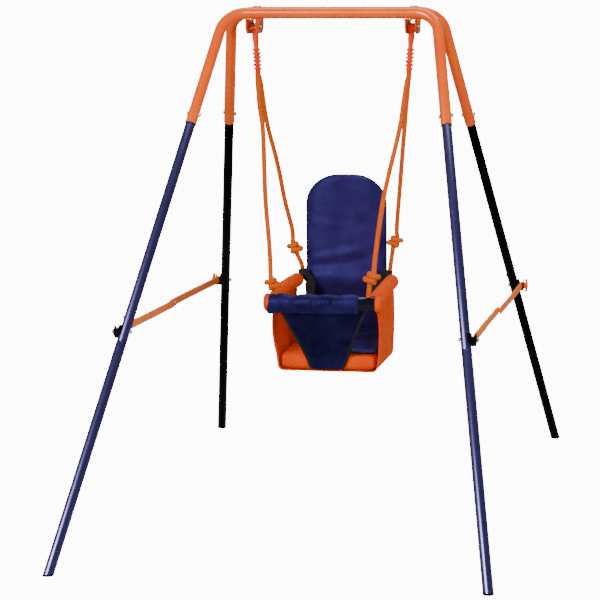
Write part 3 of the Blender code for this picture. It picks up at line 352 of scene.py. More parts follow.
def grained(tree, spot, size, detail, depth, strength):
    # bumps of a real depth
    cloud = addNode(tree, "ShaderNodeTexNoise", None,
                    {"Vector": spot, "Scale": 1000 / size, "Detail": detail})
    return addNode(tree, "ShaderNodeBump", None, {"Height": cloud.outputs["Fac"], "Distance": depth / 1000,
                                                  "Strength": strength}).outputs["Normal"]


def patterned(tree, shader, color, roughness, normal=None):
    tree.links.new(color, shader.inputs["Base Color"])
    tree.links.new(roughness, shader.inputs["Roughness"])
    if normal is not None:
        tree.links.new(normal, shader.inputs["Normal"])


def powderCoat(name, light, deep, glint, roughness, coat, ior):
    # Baked powder on steel: a thick even colour, a gloss that its fine orange peel softens, faint scuffs.
    material, tree, shader = newMaterial(name, Coat_Weight=coat, Coat_Roughness=0.28, IOR=ior,
                                         Specular_Tint=linearColor(glint))
    spot = addNode(tree, "ShaderNodeTexCoord").outputs["Object"]
    # the finest of the peel, under 1 mm across, is drawn at 2.2 mm so that it shows
    patterned(tree, shader, mottled(tree, spot, 70, 2, deep, light),
              unevenGloss(tree, spot, 9, 6, roughness, roughness + 0.14, 0.60, 0.72),
              grained(tree, spot, 2.2, 1, 0.03, 0.5))
    return material


def mouldedPlastic(name, light, deep, glint, roughness, coat=0.0, ior=1.49):
    # Injection-moulded plastic: colour right through, a spark-eroded fine grain and a soft highlight.
    material, tree, shader = newMaterial(name, Coat_Weight=coat, Coat_Roughness=0.08, IOR=ior,
                                         Specular_Tint=linearColor(glint))
    spot = addNode(tree, "ShaderNodeTexCoord").outputs["Object"]
    # the grain is nearer 0.1 mm and is drawn at 0.9 mm so that it shows
    patterned(tree, shader, mottled(tree, spot, 25, 2, deep, light),
              unevenGloss(tree, spot, 4, 4, roughness - 0.06, roughness + 0.10),
              grained(tree, spot, 0.9, 2, 0.03, 0.35))
    return material


def zincPlate(name):
    # Bright zinc on steel hardware: cool grey mirror dulled by handling, with a faint straw tint.
    material, tree, shader = newMaterial(name, Metallic=1.0)
    spot = addNode(tree, "ShaderNodeTexCoord").outputs["Object"]
    patterned(tree, shader, mottled(tree, spot, 5, 3, "#B9BBC0", "#E2E0D6", 0.35, 0.65),
              unevenGloss(tree, spot, 1.6, 3, 0.18, 0.42))
    return material


def weaveHeight(tree, coordinates, thread):
    # plain weave: threads that pass over and under each other, as the product of two sine waves
    parts = addNode(tree, "ShaderNodeSeparateXYZ", None, {0: coordinates})
    down = addNode(tree, "ShaderNodeMath", {"operation": "ADD"},
                   {0: parts.outputs["Y"], 1: parts.outputs["Z"]})
    waves = []
    for run in (parts.outputs["X"], down.outputs[0]):
        turns = addNode(tree, "ShaderNodeMath", {"operation": "MULTIPLY"},
                        {0: run, 1: math.pi * 1000 / thread})
        swing = addNode(tree, "ShaderNodeMath", {"operation": "SINE"}, {0: turns.outputs[0]})
        waves.append(swing.outputs[0])
    product = addNode(tree, "ShaderNodeMath", {"operation": "MULTIPLY"}, {0: waves[0], 1: waves[1]})
    return addNode(tree, "ShaderNodeMath", {"operation": "MULTIPLY_ADD"},
                   {0: product.outputs[0], 1: 0.5, 2: 0.5}).outputs[0]


def wovenCloth(name, light, deep, thread, roughness, sheen, sheenColor, source="UV", crinkle=0.5):
    # Coated nylon: a plain weave with painted shade between its threads, slow random changes of tone and
    # small crinkles that catch light.
    # Real threads are some 0.4 mm apart; they are drawn as far apart as thread says, so that they show.
    tint = linearColor(sheenColor)
    material, tree, shader = newMaterial(name, Sheen_Weight=sheen, Sheen_Roughness=0.35, IOR=1.22,
                                         Specular_Tint=tint, Sheen_Tint=tint)
    coordinates = addNode(tree, "ShaderNodeTexCoord")
    spot = coordinates.outputs["Object"]
    weave = weaveHeight(tree, coordinates.outputs[source], thread)
    shade = mottled(tree, spot, 45, 3, deep, light, 0.32, 0.68)
    # the weave's hollows are darkened: painted shade between the threads
    threads = addNode(tree, "ShaderNodeValToRGB", None, {"Fac": weave}, [(0.0, "#C4C4C4"), (1.0, "#FFFFFF")])
    mixed = addNode(tree, "ShaderNodeMix", {"data_type": "RGBA", "blend_type": "MULTIPLY"},
                    {0: 0.7, 6: shade, 7: threads.outputs["Color"]})
    creases = grained(tree, spot, 14, 4, crinkle, 0.6)
    raised = addNode(tree, "ShaderNodeBump", None,
                     {"Height": weave, "Distance": 0.12 / 1000, "Strength": 0.6, "Normal": creases})
    patterned(tree, shader, mixed.outputs[2],
              unevenGloss(tree, spot, 12, 3, roughness - 0.08, roughness + 0.08), raised.outputs["Normal"])
    return material


def thinCloth(material):
    # daylight passes through thin nylon, so a panel's shaded side still glows in its own colour
    shader = material.node_tree.nodes["Principled BSDF"]
    shader.inputs["Subsurface Weight"].default_value = 0.55
    shader.inputs["Subsurface Radius"].default_value = (1.0, 0.30, 0.05)
    shader.inputs["Subsurface Scale"].default_value = 0.008


def braidedRope(name, light, middle, deep):
    # Braided polyester: round plaits of bright yarn, with painted shade in the grooves, painted light on the
    # crowns and a soft fibre sheen.
    tint = linearColor(light)
    material, tree, shader = newMaterial(name, Sheen_Weight=0.12, Sheen_Roughness=0.4, IOR=1.35,
                                         Specular_Tint=tint, Sheen_Tint=tint)
    spot = addNode(tree, "ShaderNodeTexCoord").outputs["Object"]
    crown = addNode(tree, "ShaderNodeAttribute", {"attribute_name": "crown"}).outputs["Fac"]
    # the crown height picks the colour: the deep groove colour is painted shade, the light crown colour
    # painted light
    base = addNode(tree, "ShaderNodeValToRGB", None, {"Fac": crown},
                   [(0.12, deep), (0.55, middle), (0.95, light)])
    mixed = addNode(tree, "ShaderNodeMix", {"data_type": "RGBA", "blend_type": "MULTIPLY"},
                    {0: 0.6, 6: base.outputs["Color"], 7: mottled(tree, spot, 3, 4, "#DADADA", "#FFFFFF")})
    # single fibres are much finer and are drawn at 0.8 mm so that they show
    patterned(tree, shader, mixed.outputs[2], unevenGloss(tree, spot, 6, 2, 0.62, 0.80),
              grained(tree, spot, 0.8, 3, 0.10, 0.5))
    return material


def ribbedWebbing(name, light, deep):
    # Flat polypropylene webbing: close ribs across its width, with painted shade in the hollows between them,
    # and a dull shine.
    material, tree, shader = newMaterial(name, Sheen_Weight=0.05, Sheen_Roughness=0.4, IOR=1.35)
    coordinates = addNode(tree, "ShaderNodeTexCoord")
    # ribs on such a strap are about 1 mm apart and are drawn 2 mm apart so that they show
    along = addNode(tree, "ShaderNodeSeparateXYZ", None, {0: coordinates.outputs["UV"]}).outputs["Y"]
    turns = addNode(tree, "ShaderNodeMath", {"operation": "MULTIPLY"}, {0: along, 1: math.tau * 1000 / 2.0})
    ribs = addNode(tree, "ShaderNodeMath", {"operation": "SINE"}, {0: turns.outputs[0]}).outputs[0]
    # the ribs' hollows take the deep colour: painted shade
    shade = addNode(tree, "ShaderNodeValToRGB", None, {"Fac": ribs}, [(0.0, deep), (1.0, light)])
    raised = addNode(tree, "ShaderNodeBump", None, {"Height": ribs, "Distance": 0.25 / 1000, "Strength": 0.7})
    patterned(tree, shader, shade.outputs["Color"],
              unevenGloss(tree, coordinates.outputs["Object"], 6, 3, 0.6, 0.85), raised.outputs["Normal"])
    return material


orangePaint = powderCoat("orangePowderCoat", "#FF6400", "#F65600", "#FFC890", 0.24, 0.05, 1.7)
# the braces have the frame's orange paint; this lighter copy is painted light, for the light their sides face
# away from
litOrangePaint = powderCoat("brightOrangePowderCoat", "#FF7C00", "#FF7000", "#FFC070", 0.36, 0.0, 1.5)
navyPaint = powderCoat("navyPowderCoat", "#100A40", "#0C0634", "#BCB4FF", 0.30, 0.0, 2.3)
# the rear legs are the same navy as the front ones; this near-black copy of the navy paint is painted shade,
# for the shadow they stand in
shadedNavyPaint = powderCoat("blackPowderCoat", "#030304", "#020202", "#8080B0", 0.34, 0.0, 1.2)
hangerPlastic = mouldedPlastic("orangeNylonMoulding", "#FF3C00", "#F03000", "#FFA878", 0.34, 0.1)
knobPlastic = mouldedPlastic("orangePolypropyleneMoulding", "#FF5A06", "#F64C00", "#FFA878", 0.42)
blackPlastic = mouldedPlastic("blackNylonMoulding", "#040405", "#020202", "#808088", 0.45, 0.0, 1.2)
barPlastic = mouldedPlastic("navyGlossPlastic", "#06051E", "#040316", "#C0C0FF", 0.10, 0.5, 1.3)
boardPlastic = mouldedPlastic("blackSeatBoardPlastic", "#141416", "#0C0C0E", "#C0C0C0", 0.5)
zinc = zincPlate("zincPlatedSteel")
# the rope's deep colour is painted shade for its grooves, its light colour painted light for its crowns
ropeFibre = braidedRope("orangeBraidedPolyester", "#FF9038", "#FF6408", "#8C1800")
orangeCloth = wovenCloth("orangeWovenNylon", "#FF5204", "#F84400", 1.5, 0.62, 0.40, "#FF6C14")
thinCloth(orangeCloth)
orangePadCloth = wovenCloth("orangePaddedNylon", "#FF5606", "#F84800", 1.5, 0.62, 0.25, "#FF7A20", "Object")
barCloth = wovenCloth("navyGatheredNylon", "#2C2460", "#150F36", 1.2, 0.42, 0.14, "#8080FF", "UV", 1.1)
panelCloth = wovenCloth("darkNavyNylon", "#1B1842", "#0D0B26", 1.2, 0.46, 0.12, "#6868FF", "UV", 1.6)
padCloth = wovenCloth("navySatinNylon", "#35296A", "#281E56", 1.3, 0.42, 0.14, "#8484FF", "Object", 0.9)
pipingCloth = wovenCloth("navyPipingTape", "#151230", "#0E0C22", 1.2, 0.5, 0.15, "#6868C0", "Object")
bindingTape = ribbedWebbing("blackBindingTape", "#0A0A0C", "#040405")
webbingTape = ribbedWebbing("blackWebbing", "#0B0B0C", "#040404")
print("materials made")


# the frame's lines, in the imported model's own measures
frameSizes = {
    "planeY": 0.014, "barHeight": 1.120, "barSpacing": 0.066, "cornerHalfWidth": 0.241, "bendRadius": 0.056,
    "topTube": 0.0254, "wall": 0.0012, "fit": 0.0004, "topOverlap": 0.040, "lowOverlap": 0.080,
    "swage": 0.006, "plugHead": 0.0042, "pivotDrop": 0.035, "seatDrop": 0.774,
}
legSizes = {
    "front": {"reach": 0.811, "footHalfWidth": 0.451, "firstSeam": 0.296, "secondSeam": 0.843,
              "braceBack": 0.026},
    "rear": {"reach": 0.783, "footHalfWidth": 0.444, "firstSeam": 0.320, "secondSeam": 0.855,
             "braceBack": 0.026},
}
pivotHeight = frameSizes["barHeight"] - frameSizes["pivotDrop"]
seatFloor = pivotHeight - frameSizes["seatDrop"]
legTube = frameSizes["topTube"] - 2 * frameSizes["wall"] - 2 * frameSizes["fit"]
neckTube = legTube - 2 * frameSizes["wall"] - 2 * frameSizes["fit"]


def at(x, y, z):
    return Vector((x, y + frameSizes["planeY"], z))


def onSeat(point, hand):
    return at(hand * point[0], point[1], seatFloor + point[2])


class LegLine:
    def __init__(self, which, side):
        sizes = legSizes[which]
        turn = -1 if which == "front" else 1
        self.which = which
        self.hand = hands[side]
        self.node = which + "_" + side
        self.name = which + side.title()
        self.corner = at(self.hand * frameSizes["cornerHalfWidth"], turn * frameSizes["barSpacing"] / 2,
                         frameSizes["barHeight"])
        self.foot = at(self.hand * sizes["footHalfWidth"], turn * sizes["reach"], 0)
        self.along = (self.foot - self.corner).normalized()
        self.length = (self.foot - self.corner).length
        self.firstSeam = sizes["firstSeam"]
        self.secondSeam = sizes["secondSeam"]
        self.brace = self.secondSeam - sizes["braceBack"]

    def point(self, distance):
        return self.corner + self.along * distance


legs = {which + "_" + side: LegLine(which, side) for which in ("front", "rear") for side in hands}


# one braided cord on each side, from the hanger down, round under the arm and back up
ropeSizes = {"thickness": 0.0105, "fullness": 1.08, "squeeze": 0.85, "knotFullness": 1.16,
             "knotSpacing": 1.06, "knotReach": 0.012, "plaits": 8, "plaitPitch": 0.0046, "plaitRings": 4,
             "plaitRound": 0.6, "grooveDepth": 0.00075, "spread": 0.011, "hangerGap": 0.0006,
             "bevelSteps": 14}
hangerSizes = {"x": 0.1805, "length": 0.095, "lean": 0.0065, "ribs": 6, "ribsFrom": 0.043, "ribSwell": 0.0094,
               "endRibSwell": 0.0086, "ribEdge": 0.0012, "stretch": 1.45, "smooth": 40}
# a strand's third number is how far it lies below the pivot, the others' how far above the seat's underside
frontStrand = {
    "left": [(0.1715, -0.0150, 0.1230), (0.1645, -0.0300, 0.1750), (0.1530, -0.0490, 0.2350),
             (0.1400, -0.0930, 0.3740), (0.1245, -0.1270, 0.4830)],
    "right": [(0.1710, -0.0150, 0.1230), (0.1665, -0.0270, 0.1600), (0.1590, -0.0490, 0.2280),
              (0.1330, -0.0930, 0.3630), (0.1210, -0.1290, 0.4730)],
}
rearStrand = {
    "left": [(0.1712, 0.0160, 0.1230), (0.1640, 0.0485, 0.2170), (0.1470, 0.0830, 0.3150),
             (0.1352, 0.1130, 0.4070), (0.1245, 0.1400, 0.4730)],
    "right": [(0.1700, 0.0160, 0.1300), (0.1600, 0.0440, 0.1990), (0.1510, 0.0680, 0.2660),
              (0.1391, 0.1010, 0.3580), (0.1255, 0.1400, 0.4600)],
}
frontKnot = {"left": (0.1125, -0.150, 0.2080), "right": (0.1125, -0.150, 0.2250)}
rearKnot = {"left": (0.1195, 0.150, 0.2540), "right": (0.1195, 0.150, 0.2720)}
barRun = [(0.1045, -0.1462, 0.1840), (0.1050, -0.1450, 0.1760), (0.1072, -0.1385, 0.1690)]
armRun = [(0.1135, -0.1235, 0.1685), (0.1162, -0.0850, 0.1730), (0.1170, -0.0300, 0.1765),
          (0.1160, 0.0500, 0.1785), (0.1130, 0.1480, 0.1790)]
rearRun = [(0.1095, 0.1600, 0.1845), (0.1050, 0.1660, 0.1970), (0.1065, 0.1630, 0.2130)]


def knotLine(centre, outward):
    unit = ropeSizes["thickness"] * ropeSizes["squeeze"] * ropeSizes["knotSpacing"]
    shape = [(-0.5, 0, 1.5), (-0.5, 0, 0.7), (-0.5, 0, 0), (-0.5, 0, -0.6)]
    shape += [(-0.45, -0.45, -1.02), (-0.34, -0.95, -0.84)]
    for step in range(10):
        turn = math.radians(-100 + 40 * step)
        shape.append((1.55 * math.cos(turn), 1.1 * math.sin(turn), -0.54 + 1.08 * step / 9))
    shape += [(0.15, -0.95, 0.88), (0.45, -0.5, 1.05)]
    shape += [(0.5, 0, 0.62), (0.5, 0, 0), (0.5, 0, -0.7), (0.5, 0, -1.5)]
    return [centre + unit * Vector((-outward * x, y, z)) for x, y, z in shape]


def ropeControls(side):
    hand = hands[side]
    endX = hangerSizes["x"] - hangerSizes["lean"]
    endZ = pivotHeight - hangerSizes["length"] - ropeSizes["hangerGap"]
    drop = Vector((0, 0, -ropeSizes["thickness"]))
    frontEnd = at(hand * endX, -ropeSizes["spread"] / 2, endZ)
    rearEnd = at(hand * endX, ropeSizes["spread"] / 2, endZ)
    front = [frontEnd, frontEnd + drop]
    front += [at(hand * x, y, pivotHeight - z) for x, y, z in frontStrand[side]]
    rear = [rearEnd, rearEnd + drop]
    rear += [at(hand * x, y, pivotHeight - z) for x, y, z in rearStrand[side]]
    hidden = [onSeat(point, hand) for point in barRun + armRun + rearRun]
    knots = [knotLine(onSeat(frontKnot[side], hand), hand), knotLine(onSeat(rearKnot[side], hand), hand)]
    return front + knots[0] + hidden + knots[1][::-1] + rear[::-1], knots


def makeRope(side):
    controls, knots = ropeControls(side)
    route, total = evenRoute(controls, ropeSizes["plaitPitch"] / ropeSizes["plaitRings"])
    hubs = [sum(knot, Vector()) / len(knot) for knot in knots]
    radius, plain, bulged = ropeSizes["thickness"] / 2, ropeSizes["fullness"], ropeSizes["knotFullness"]
    reach, rounding = ropeSizes["knotReach"], ropeSizes["plaitRound"]
    radii = []
    for point in route:
        # braid pulled into a knot bulges, and its turns press into each other
        near = min((point - hub).length for hub in hubs)
        radii.append(radius * (bulged + (plain - bulged) * ease((near - reach) / reach)))
    rope = tubeAlong(side + "BraidedRope", route, radii, ropeSizes["bevelSteps"])
    around = pointsAround(ropeSizes["bevelSteps"])
    crown = rope.data.attributes.new("crown", "FLOAT", "POINT")
    for index, vertex in enumerate(rope.data.vertices):
        ring, seat = divmod(index, around)
        if ring >= len(route):
            crown.data[index].value = 0.5
            continue
        twist = seat * ropeSizes["plaits"] / around
        run = ring / ropeSizes["plaitRings"]
        height = math.sin(math.pi * ((twist + run) % 1)) * math.sin(math.pi * ((twist - run) % 1))
        crown.data[index].value = abs(height) ** rounding
        inwards = (route[ring] - vertex.co).normalized()
        vertex.co += inwards * ropeSizes["grooveDepth"] * (1 - abs(height) ** rounding)
    chosen(rope)
    bpy.ops.object.shade_smooth()
    dress(rope, ropeFibre, "orange_rope", [side + "_rope"])
    tuple(route[0])
    [tuple(point) for point in route[:-4:8] + [route[-1]]]
    print(side, "rope", round(total, 3), "m")


for side in hands:
    makeRope(side)


tubeLook = {"around": 40, "bendSteps": 14, "lip": 0.0004, "seamGap": 0.0003, "swageLead": 0.001,
            "cutLength": 0.02}
swageStops = [(0.25, 0.12), (0.5, 0.5), (0.75, 0.88), (1.0, 1.0)]       # along the swage, and how far swollen


def bendAt(first, corner, second, radius):
    into, out = (first - corner).normalized(), (second - corner).normalized()
    half = into.angle(out) / 2
    centre = corner + (into + out).normalized() * radius / math.sin(half)
    start, end = corner + into * radius / math.tan(half), corner + out * radius / math.tan(half)
    axis = (start - centre).cross(end - centre).normalized()
    return centre, start, end, axis, (start - centre).angle(end - centre)


def walled(tube):
    # a thin wall inside the outer skin, with its rims eased
    closeUp(tube)
    applied(tube, "SOLIDIFY", thickness=frameSizes["wall"], offset=-1, use_even_offset=True)
    bevelled(tube, tubeLook["lip"], meshing["rimBevel"])


def makeTopTube(which):
    left, right = legs[which + "_left"], legs[which + "_right"]
    leftEnd, rightEnd = left.point(left.firstSeam), right.point(right.firstSeam)
    bends = [bendAt(leftEnd, left.corner, right.corner, frameSizes["bendRadius"]),
             bendAt(left.corner, right.corner, rightEnd, frameSizes["bendRadius"])]
    tube = startRing(which + "TopTube", leftEnd, left.along, frameSizes["topTube"], tubeLook["around"])
    place = leftEnd
    for centre, start, end, axis, sweep in bends:
        extrudeBy(start - place)
        # spin turns against the right-hand rule, so its angle is negative
        bpy.ops.mesh.spin(steps=tubeLook["bendSteps"], angle=-sweep, center=centre, axis=axis)
        place = end
    extrudeBy(rightEnd - place)
    walled(tube)
    dress(tube, orangePaint, "orange_paint", [which + "_top_tube"])


def makeLegTubes(leg):
    # the rear legs get the near-black copy of the navy paint: painted shade
    paint, slot = (navyPaint, "navy_paint") if leg.which == "front" else (shadedNavyPaint, "black_paint")
    top = leg.firstSeam - frameSizes["topOverlap"]
    middle = startRing(leg.name + "MiddleTube", leg.point(top), leg.along, legTube, tubeLook["around"])
    extrudeBy(leg.along * (leg.secondSeam - top))
    walled(middle)
    dress(middle, paint, slot, [leg.node + "_middle_tube"])

    # the lower tube's neck goes up inside, and swells to full size just below the joint
    start = leg.secondSeam - frameSizes["lowOverlap"]
    neckEnd = leg.secondSeam + tubeLook["seamGap"] - tubeLook["swageLead"]
    lower = startRing(leg.name + "LowerTube", leg.point(start), leg.along, neckTube, tubeLook["around"])
    extrudeBy(leg.along * (neckEnd - start))
    place, diameter = neckEnd, neckTube
    for share, wide in swageStops:
        distance = neckEnd + (frameSizes["swage"] / 2 + tubeLook["swageLead"]) * share
        extrudeBy(leg.along * (distance - place))
        resizeAt(leg.point(distance), (neckTube + (legTube - neckTube) * wide) / diameter)
        place, diameter = distance, neckTube + (legTube - neckTube) * wide
    # run on past the floor, then cut level where the plug's head starts
    extrudeBy(leg.along * (leg.length + tubeLook["cutLength"] - place))
    bpy.ops.mesh.select_all(action="SELECT")
    bpy.ops.mesh.bisect(plane_co=(0, 0, frameSizes["plugHead"]), plane_no=(0, 0, -1), clear_outer=True)
    walled(lower)
    dress(lower, paint, slot, [leg.node + "_lower_tube"])


for which in legSizes:
    makeTopTube(which)
for leg in legs.values():
    makeLegTubes(leg)
print("tubes made")


# folding braces: two halves side by side where they meet, each a round tube that is pressed flat where it
# turns on its pivot and where it laps the other half; "roundTo" and "lapFrom" are shares of its run
braceSizes = {"height": 0.0185, "thick": 0.0072, "roundThick": 0.0100, "lapThick": 0.0056,
              "roundHeight": 0.96, "pivotEnd": 0.0075, "lapEnd": 0.0095, "lapGap": 0.0004, "plane": 0.381677,
              "flatTo": 0.026, "roundFrom": 0.036, "roundTo": 0.46, "lapFrom": 0.58, "around": 28,
              "edge": 0.0009}
braceEnd = [(0.0, 0.40), (0.0010, 0.66), (0.0030, 0.88), (0.0065, 1.0)]     # in from the tip, share of height


def makeBraceHalves(side):
    hand = hands[side]
    ends = {}
    for which in legSizes:
        leg = legs[which + "_" + side]
        spot = leg.point(leg.brace)
        ends[which] = Vector((hand * braceSizes["plane"], spot.y, spot.z))
    middle = (ends["front"] + ends["rear"]) / 2
    lap = (braceSizes["lapThick"] + braceSizes["lapGap"]) / 2
    flat, full, thin = braceSizes["thick"], braceSizes["roundThick"], braceSizes["lapThick"]
    tall, tip = braceSizes["roundHeight"], braceSizes["pivotEnd"]
    for which, shift in (("front", -lap), ("rear", lap)):
        pivot = ends[which]
        run = middle - pivot
        along = run.normalized()
        reach = run.length + braceSizes["lapEnd"]
        # each stop: shift outwards, distance along, thickness and share of the full height
        stops = [(0.0, inwards - tip, flat, high) for inwards, high in braceEnd]
        stops += [(0.0, braceSizes["flatTo"], flat, 1.0), (shift * 0.1, braceSizes["roundFrom"], full, tall),
                  (shift * 0.75, run.length * braceSizes["roundTo"], full, tall),
                  (shift, run.length * braceSizes["lapFrom"], thin, 1.0)]
        stops += [(shift, reach - inwards, thin, high) for inwards, high in reversed(braceEnd)]
        spots = [pivot + xAxis * hand * stop[0] + along * stop[1] for stop in stops]
        first = braceSizes["height"] * stops[0][3]
        half = startRing(side + which.title() + "Brace", spots[0], along, first, braceSizes["around"])
        bpy.ops.transform.resize(value=(flat / first, 1, 1), center_override=spots[0])
        bpy.ops.mesh.edge_face_add()
        for before, now, old, new in zip(spots, spots[1:], stops, stops[1:]):
            extrudeBy(now - before)
            high = new[3] / old[3]
            bpy.ops.transform.resize(value=(new[2] / old[2], high, high), center_override=now)
        closeUp(half)
        bevelled(half, braceSizes["edge"], meshing["rimBevel"], 3)
        # the braces' lighter orange is painted light
        dress(half, litOrangePaint, "orange_paint", [side + "_" + which + "_brace_half"])


for side in hands:
    makeBraceHalves(side)
print("braces made")


hangerNeck = [(0.0, 0.0055), (0.004, 0.0068), (0.014, 0.0075), (0.024, 0.0074), (0.032, 0.0066),
              (0.040, 0.0058)]
hangerHead = [(-0.0070, 0.0), (-0.0070, 0.0105), (-0.0058, 0.0120), (0.0058, 0.0120), (0.0070, 0.0105),
              (0.0070, 0.0)]


def makeHanger(side):
    hand = hands[side]
    pivot = at(hand * hangerSizes["x"], 0, pivotHeight)
    lean = Vector((-hand * hangerSizes["lean"], 0, -hangerSizes["length"])) / hangerSizes["length"]
    profile = list(hangerNeck)
    ribs, edge = hangerSizes["ribs"], hangerSizes["ribEdge"]
    pitch = (hangerSizes["length"] - hangerSizes["ribsFrom"]) / ribs
    for rib in range(ribs):
        swell = hangerSizes["ribSwell"] if 0 < rib < ribs - 1 else hangerSizes["endRibSwell"]
        for share, wide in ((0.06, 0.0060), (0.30, 0.0058), (0.38, swell - edge), (0.46, swell),
                            (0.82, swell), (0.92, swell - edge), (0.98, 0.0062)):
            profile.append((hangerSizes["ribsFrom"] + pitch * (rib + share), wide))
    profile += [(hangerSizes["length"] + 0.0020, 0.0060), (hangerSizes["length"] + 0.0045, 0.0056)]
    hanger = startRing(side + "RopeHanger", pivot + lean * profile[0][0], -zAxis, profile[0][1] * 2, 28)
    bpy.ops.mesh.edge_face_add()
    place, radius = profile[0]
    for distance, wide in profile[1:]:
        extrudeBy(lean * (distance - place))
        resizeAt(pivot + lean * distance, wide / radius)
        place, radius = distance, wide
    # drawn out along Y, so that two ropes fit side by side
    bpy.ops.mesh.select_all(action="SELECT")
    bpy.ops.transform.resize(value=(1, hangerSizes["stretch"], 1), center_override=pivot)
    closeUp(hanger)
    head = turnedPiece(side + "HangerHead", hangerHead, pivot, xAxis, 36)
    chosen(hanger)
    head.select_set(True)
    bpy.ops.object.join()
    smoothed(hanger, hangerSizes["smooth"])
    dress(hanger, hangerPlastic, "orange_plastic", [side + "_rope_hanger"])


for side in hands:
    makeHanger(side)
print("hangers made")


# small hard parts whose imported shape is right: node, material, slot and how far the edges are rounded
hingeBlockScale = 0.84      # the hinge blocks are slimmer in the photograph, about their brace's pivot
hardParts = []
for side in hands:
    hardParts += [(side + "_hanger_bracket", orangePaint, "orange_paint", 0.0006),
                  (side + "_rear_bar_strap", orangePaint, "orange_paint", 0.0004),
                  (side + "_wing_knob", knobPlastic, "orange_plastic", 0.0008)]
    for bolt in ("_bracket_bolt", "_hanger_bolt", "_brace_middle_bolt"):
        hardParts.append((side + bolt, zinc, "zinc", 0.0003))
for leg in legs.values():
    hardParts += [(leg.node + "_foot_plug", blackPlastic, "black_plastic", 0.0004),
                  (leg.node + "_hinge_block", blackPlastic, "black_plastic", 0.0006)]
    for bolt in ("_seam_bolt", "_spring_button", "_brace_bolt"):
        hardParts.append((leg.node + bolt, zinc, "zinc", 0.0003))
for node, material, slot, width in hardParts:
    words = node.split("_")
    name = words[0] + "".join(word.title() for word in words[1:])
    piece = cadCopy(node, name, width)
    if node.endswith("hinge_block"):
        leg = legs[node.replace("_hinge_block", "")]
        pivot = leg.point(leg.brace)
        for vertex in piece.data.vertices:
            vertex.co.y = pivot.y + (vertex.co.y - pivot.y) * hingeBlockScale
            vertex.co.z = pivot.z + (vertex.co.z - pivot.z) * hingeBlockScale
    dress(piece, material, slot, [node])
print("brackets, bolts, knobs, blocks and feet made")


# the seat's bar, its gathered sleeve, and the cloth cups over the bar's ends
barSizes = {"y": -0.145, "above": 0.1655, "radius": 0.0166, "halfLength": 0.130, "around": 48,
            "sleeveLeft": -0.1262, "sleeveRight": 0.083, "sleeveRadius": 0.0190, "clothThick": 0.0012,
            "girthEase": 1.12, "gathers": 1.1, "swell": 0.0016, "gather": 0.0005, "crumple": 0.0010,
            "sag": 0.0052, "leftSag": 0.0030, "sleeveMerge": 5e-5, "loopAt": 0.1262, "loopPull": 0.05}
barEnd = [(0.0, 0.0), (0.0, 0.30), (0.05, 0.52), (0.16, 0.72), (0.36, 0.87), (0.66, 0.965), (1.0, 1.0)]
loopProfile = [(0.0030, 0.0), (0.0030, 0.0120), (0.0010, 0.0160), (-0.0052, 0.0169), (-0.0060, 0.0182),
               (-0.0044, 0.0198), (0.0, 0.0205), (0.0044, 0.0196), (0.0072, 0.0160), (0.0082, 0.0100),
               (0.0084, 0.0)]
barCentre = at(0, barSizes["y"], seatFloor + barSizes["above"])


def makeBar():
    radius, reach = barSizes["radius"], barSizes["halfLength"]
    cap = radius * 0.5
    profile = [(-reach + cap * rise, radius * wide) for rise, wide in barEnd]
    profile += [(reach - cap * rise, radius * wide) for rise, wide in reversed(barEnd)]
    bar = turnedPiece("frontBar", profile, barCentre, xAxis, barSizes["around"])
    dress(bar, barPlastic, "navy_plastic", ["front_bar"])


def makeBarSleeve():
    left, right = barSizes["sleeveLeft"], barSizes["sleeveRight"]
    length = right - left
    flat = (math.tau * barSizes["sleeveRadius"] * barSizes["girthEase"], length * barSizes["gathers"])

    def place(u, v):
        turn = math.tau * u
        x = left + length * v
        upper = 0.5 + 0.5 * math.sin(turn)
        # a slow wavy top edge, and small uneven gathers that run down from it
        swell = barSizes["swell"] * math.sin(x * 118 + 0.9 * math.sin(x * 41)) * upper ** 2
        ripple = abs(math.sin(x * 210 + 2.0 * math.sin(x * 57) + 0.5 * math.cos(turn)))
        gather = barSizes["gather"] * ripple * (0.3 + 0.7 * upper)
        crumple = barSizes["crumple"] * wave(x, turn * 0.012, 0.3, 0.020)
        pucker = 1 - 0.10 * (1 - ease((1 - v) / 0.03)) - 0.16 * (1 - ease(v / 0.02))
        radius = (barSizes["sleeveRadius"] + swell + gather + crumple) * pucker
        # loose cloth hangs below the bar, and further down towards its left end
        sag = barSizes["sag"] * (1 - upper) ** 1.5
        sag += barSizes["leftSag"] * (1 - ease(v / 0.10)) * (1 - upper)
        return barCentre + Vector((x, radius * math.cos(turn), radius * math.sin(turn) - sag))

    sleeve = gridPiece("frontBarSleeve", 64, 200, flat, place)
    closeUp(sleeve, merge=barSizes["sleeveMerge"], angle=meshing["clothSmooth"])
    applied(sleeve, "SOLIDIFY", thickness=barSizes["clothThick"], offset=-1)
    dress(sleeve, barCloth, "dark_cloth", ["front_bar_sleeve"])


def makeBarLoop(side):
    # the arm's cloth ends in a padded cup over the end of the bar
    hand = hands[side]
    centre = barCentre + xAxis * hand * barSizes["loopAt"]
    loop = turnedPiece(side + "BarLoop", loopProfile, centre, xAxis * hand, 40)
    for vertex in loop.data.vertices:
        off = vertex.co - centre
        pull = 1 + barSizes["loopPull"] * wave(vertex.co.x, vertex.co.y, vertex.co.z, 0.012)
        vertex.co = centre + Vector((off.x, off.y * pull, off.z * pull))
    softened(loop)
    dress(loop, orangePadCloth, "orange_cloth", [side + "_arm_sleeve", "front_bar"])


makeBar()
makeBarSleeve()
for side in hands:
    makeBarLoop(side)


# the seat's padded arms, round the ropes' level run
armSizes = {"radius": 0.0174, "step": 0.0035, "start": (0.1180, -0.1420, 0.1690), "crease": 0.0011,
            "frontSlim": 0.20, "frontRun": 0.030, "rearRound": 0.016, "rearStart": 0.0045, "rearLeast": 0.30,
            "bevelSteps": 14}


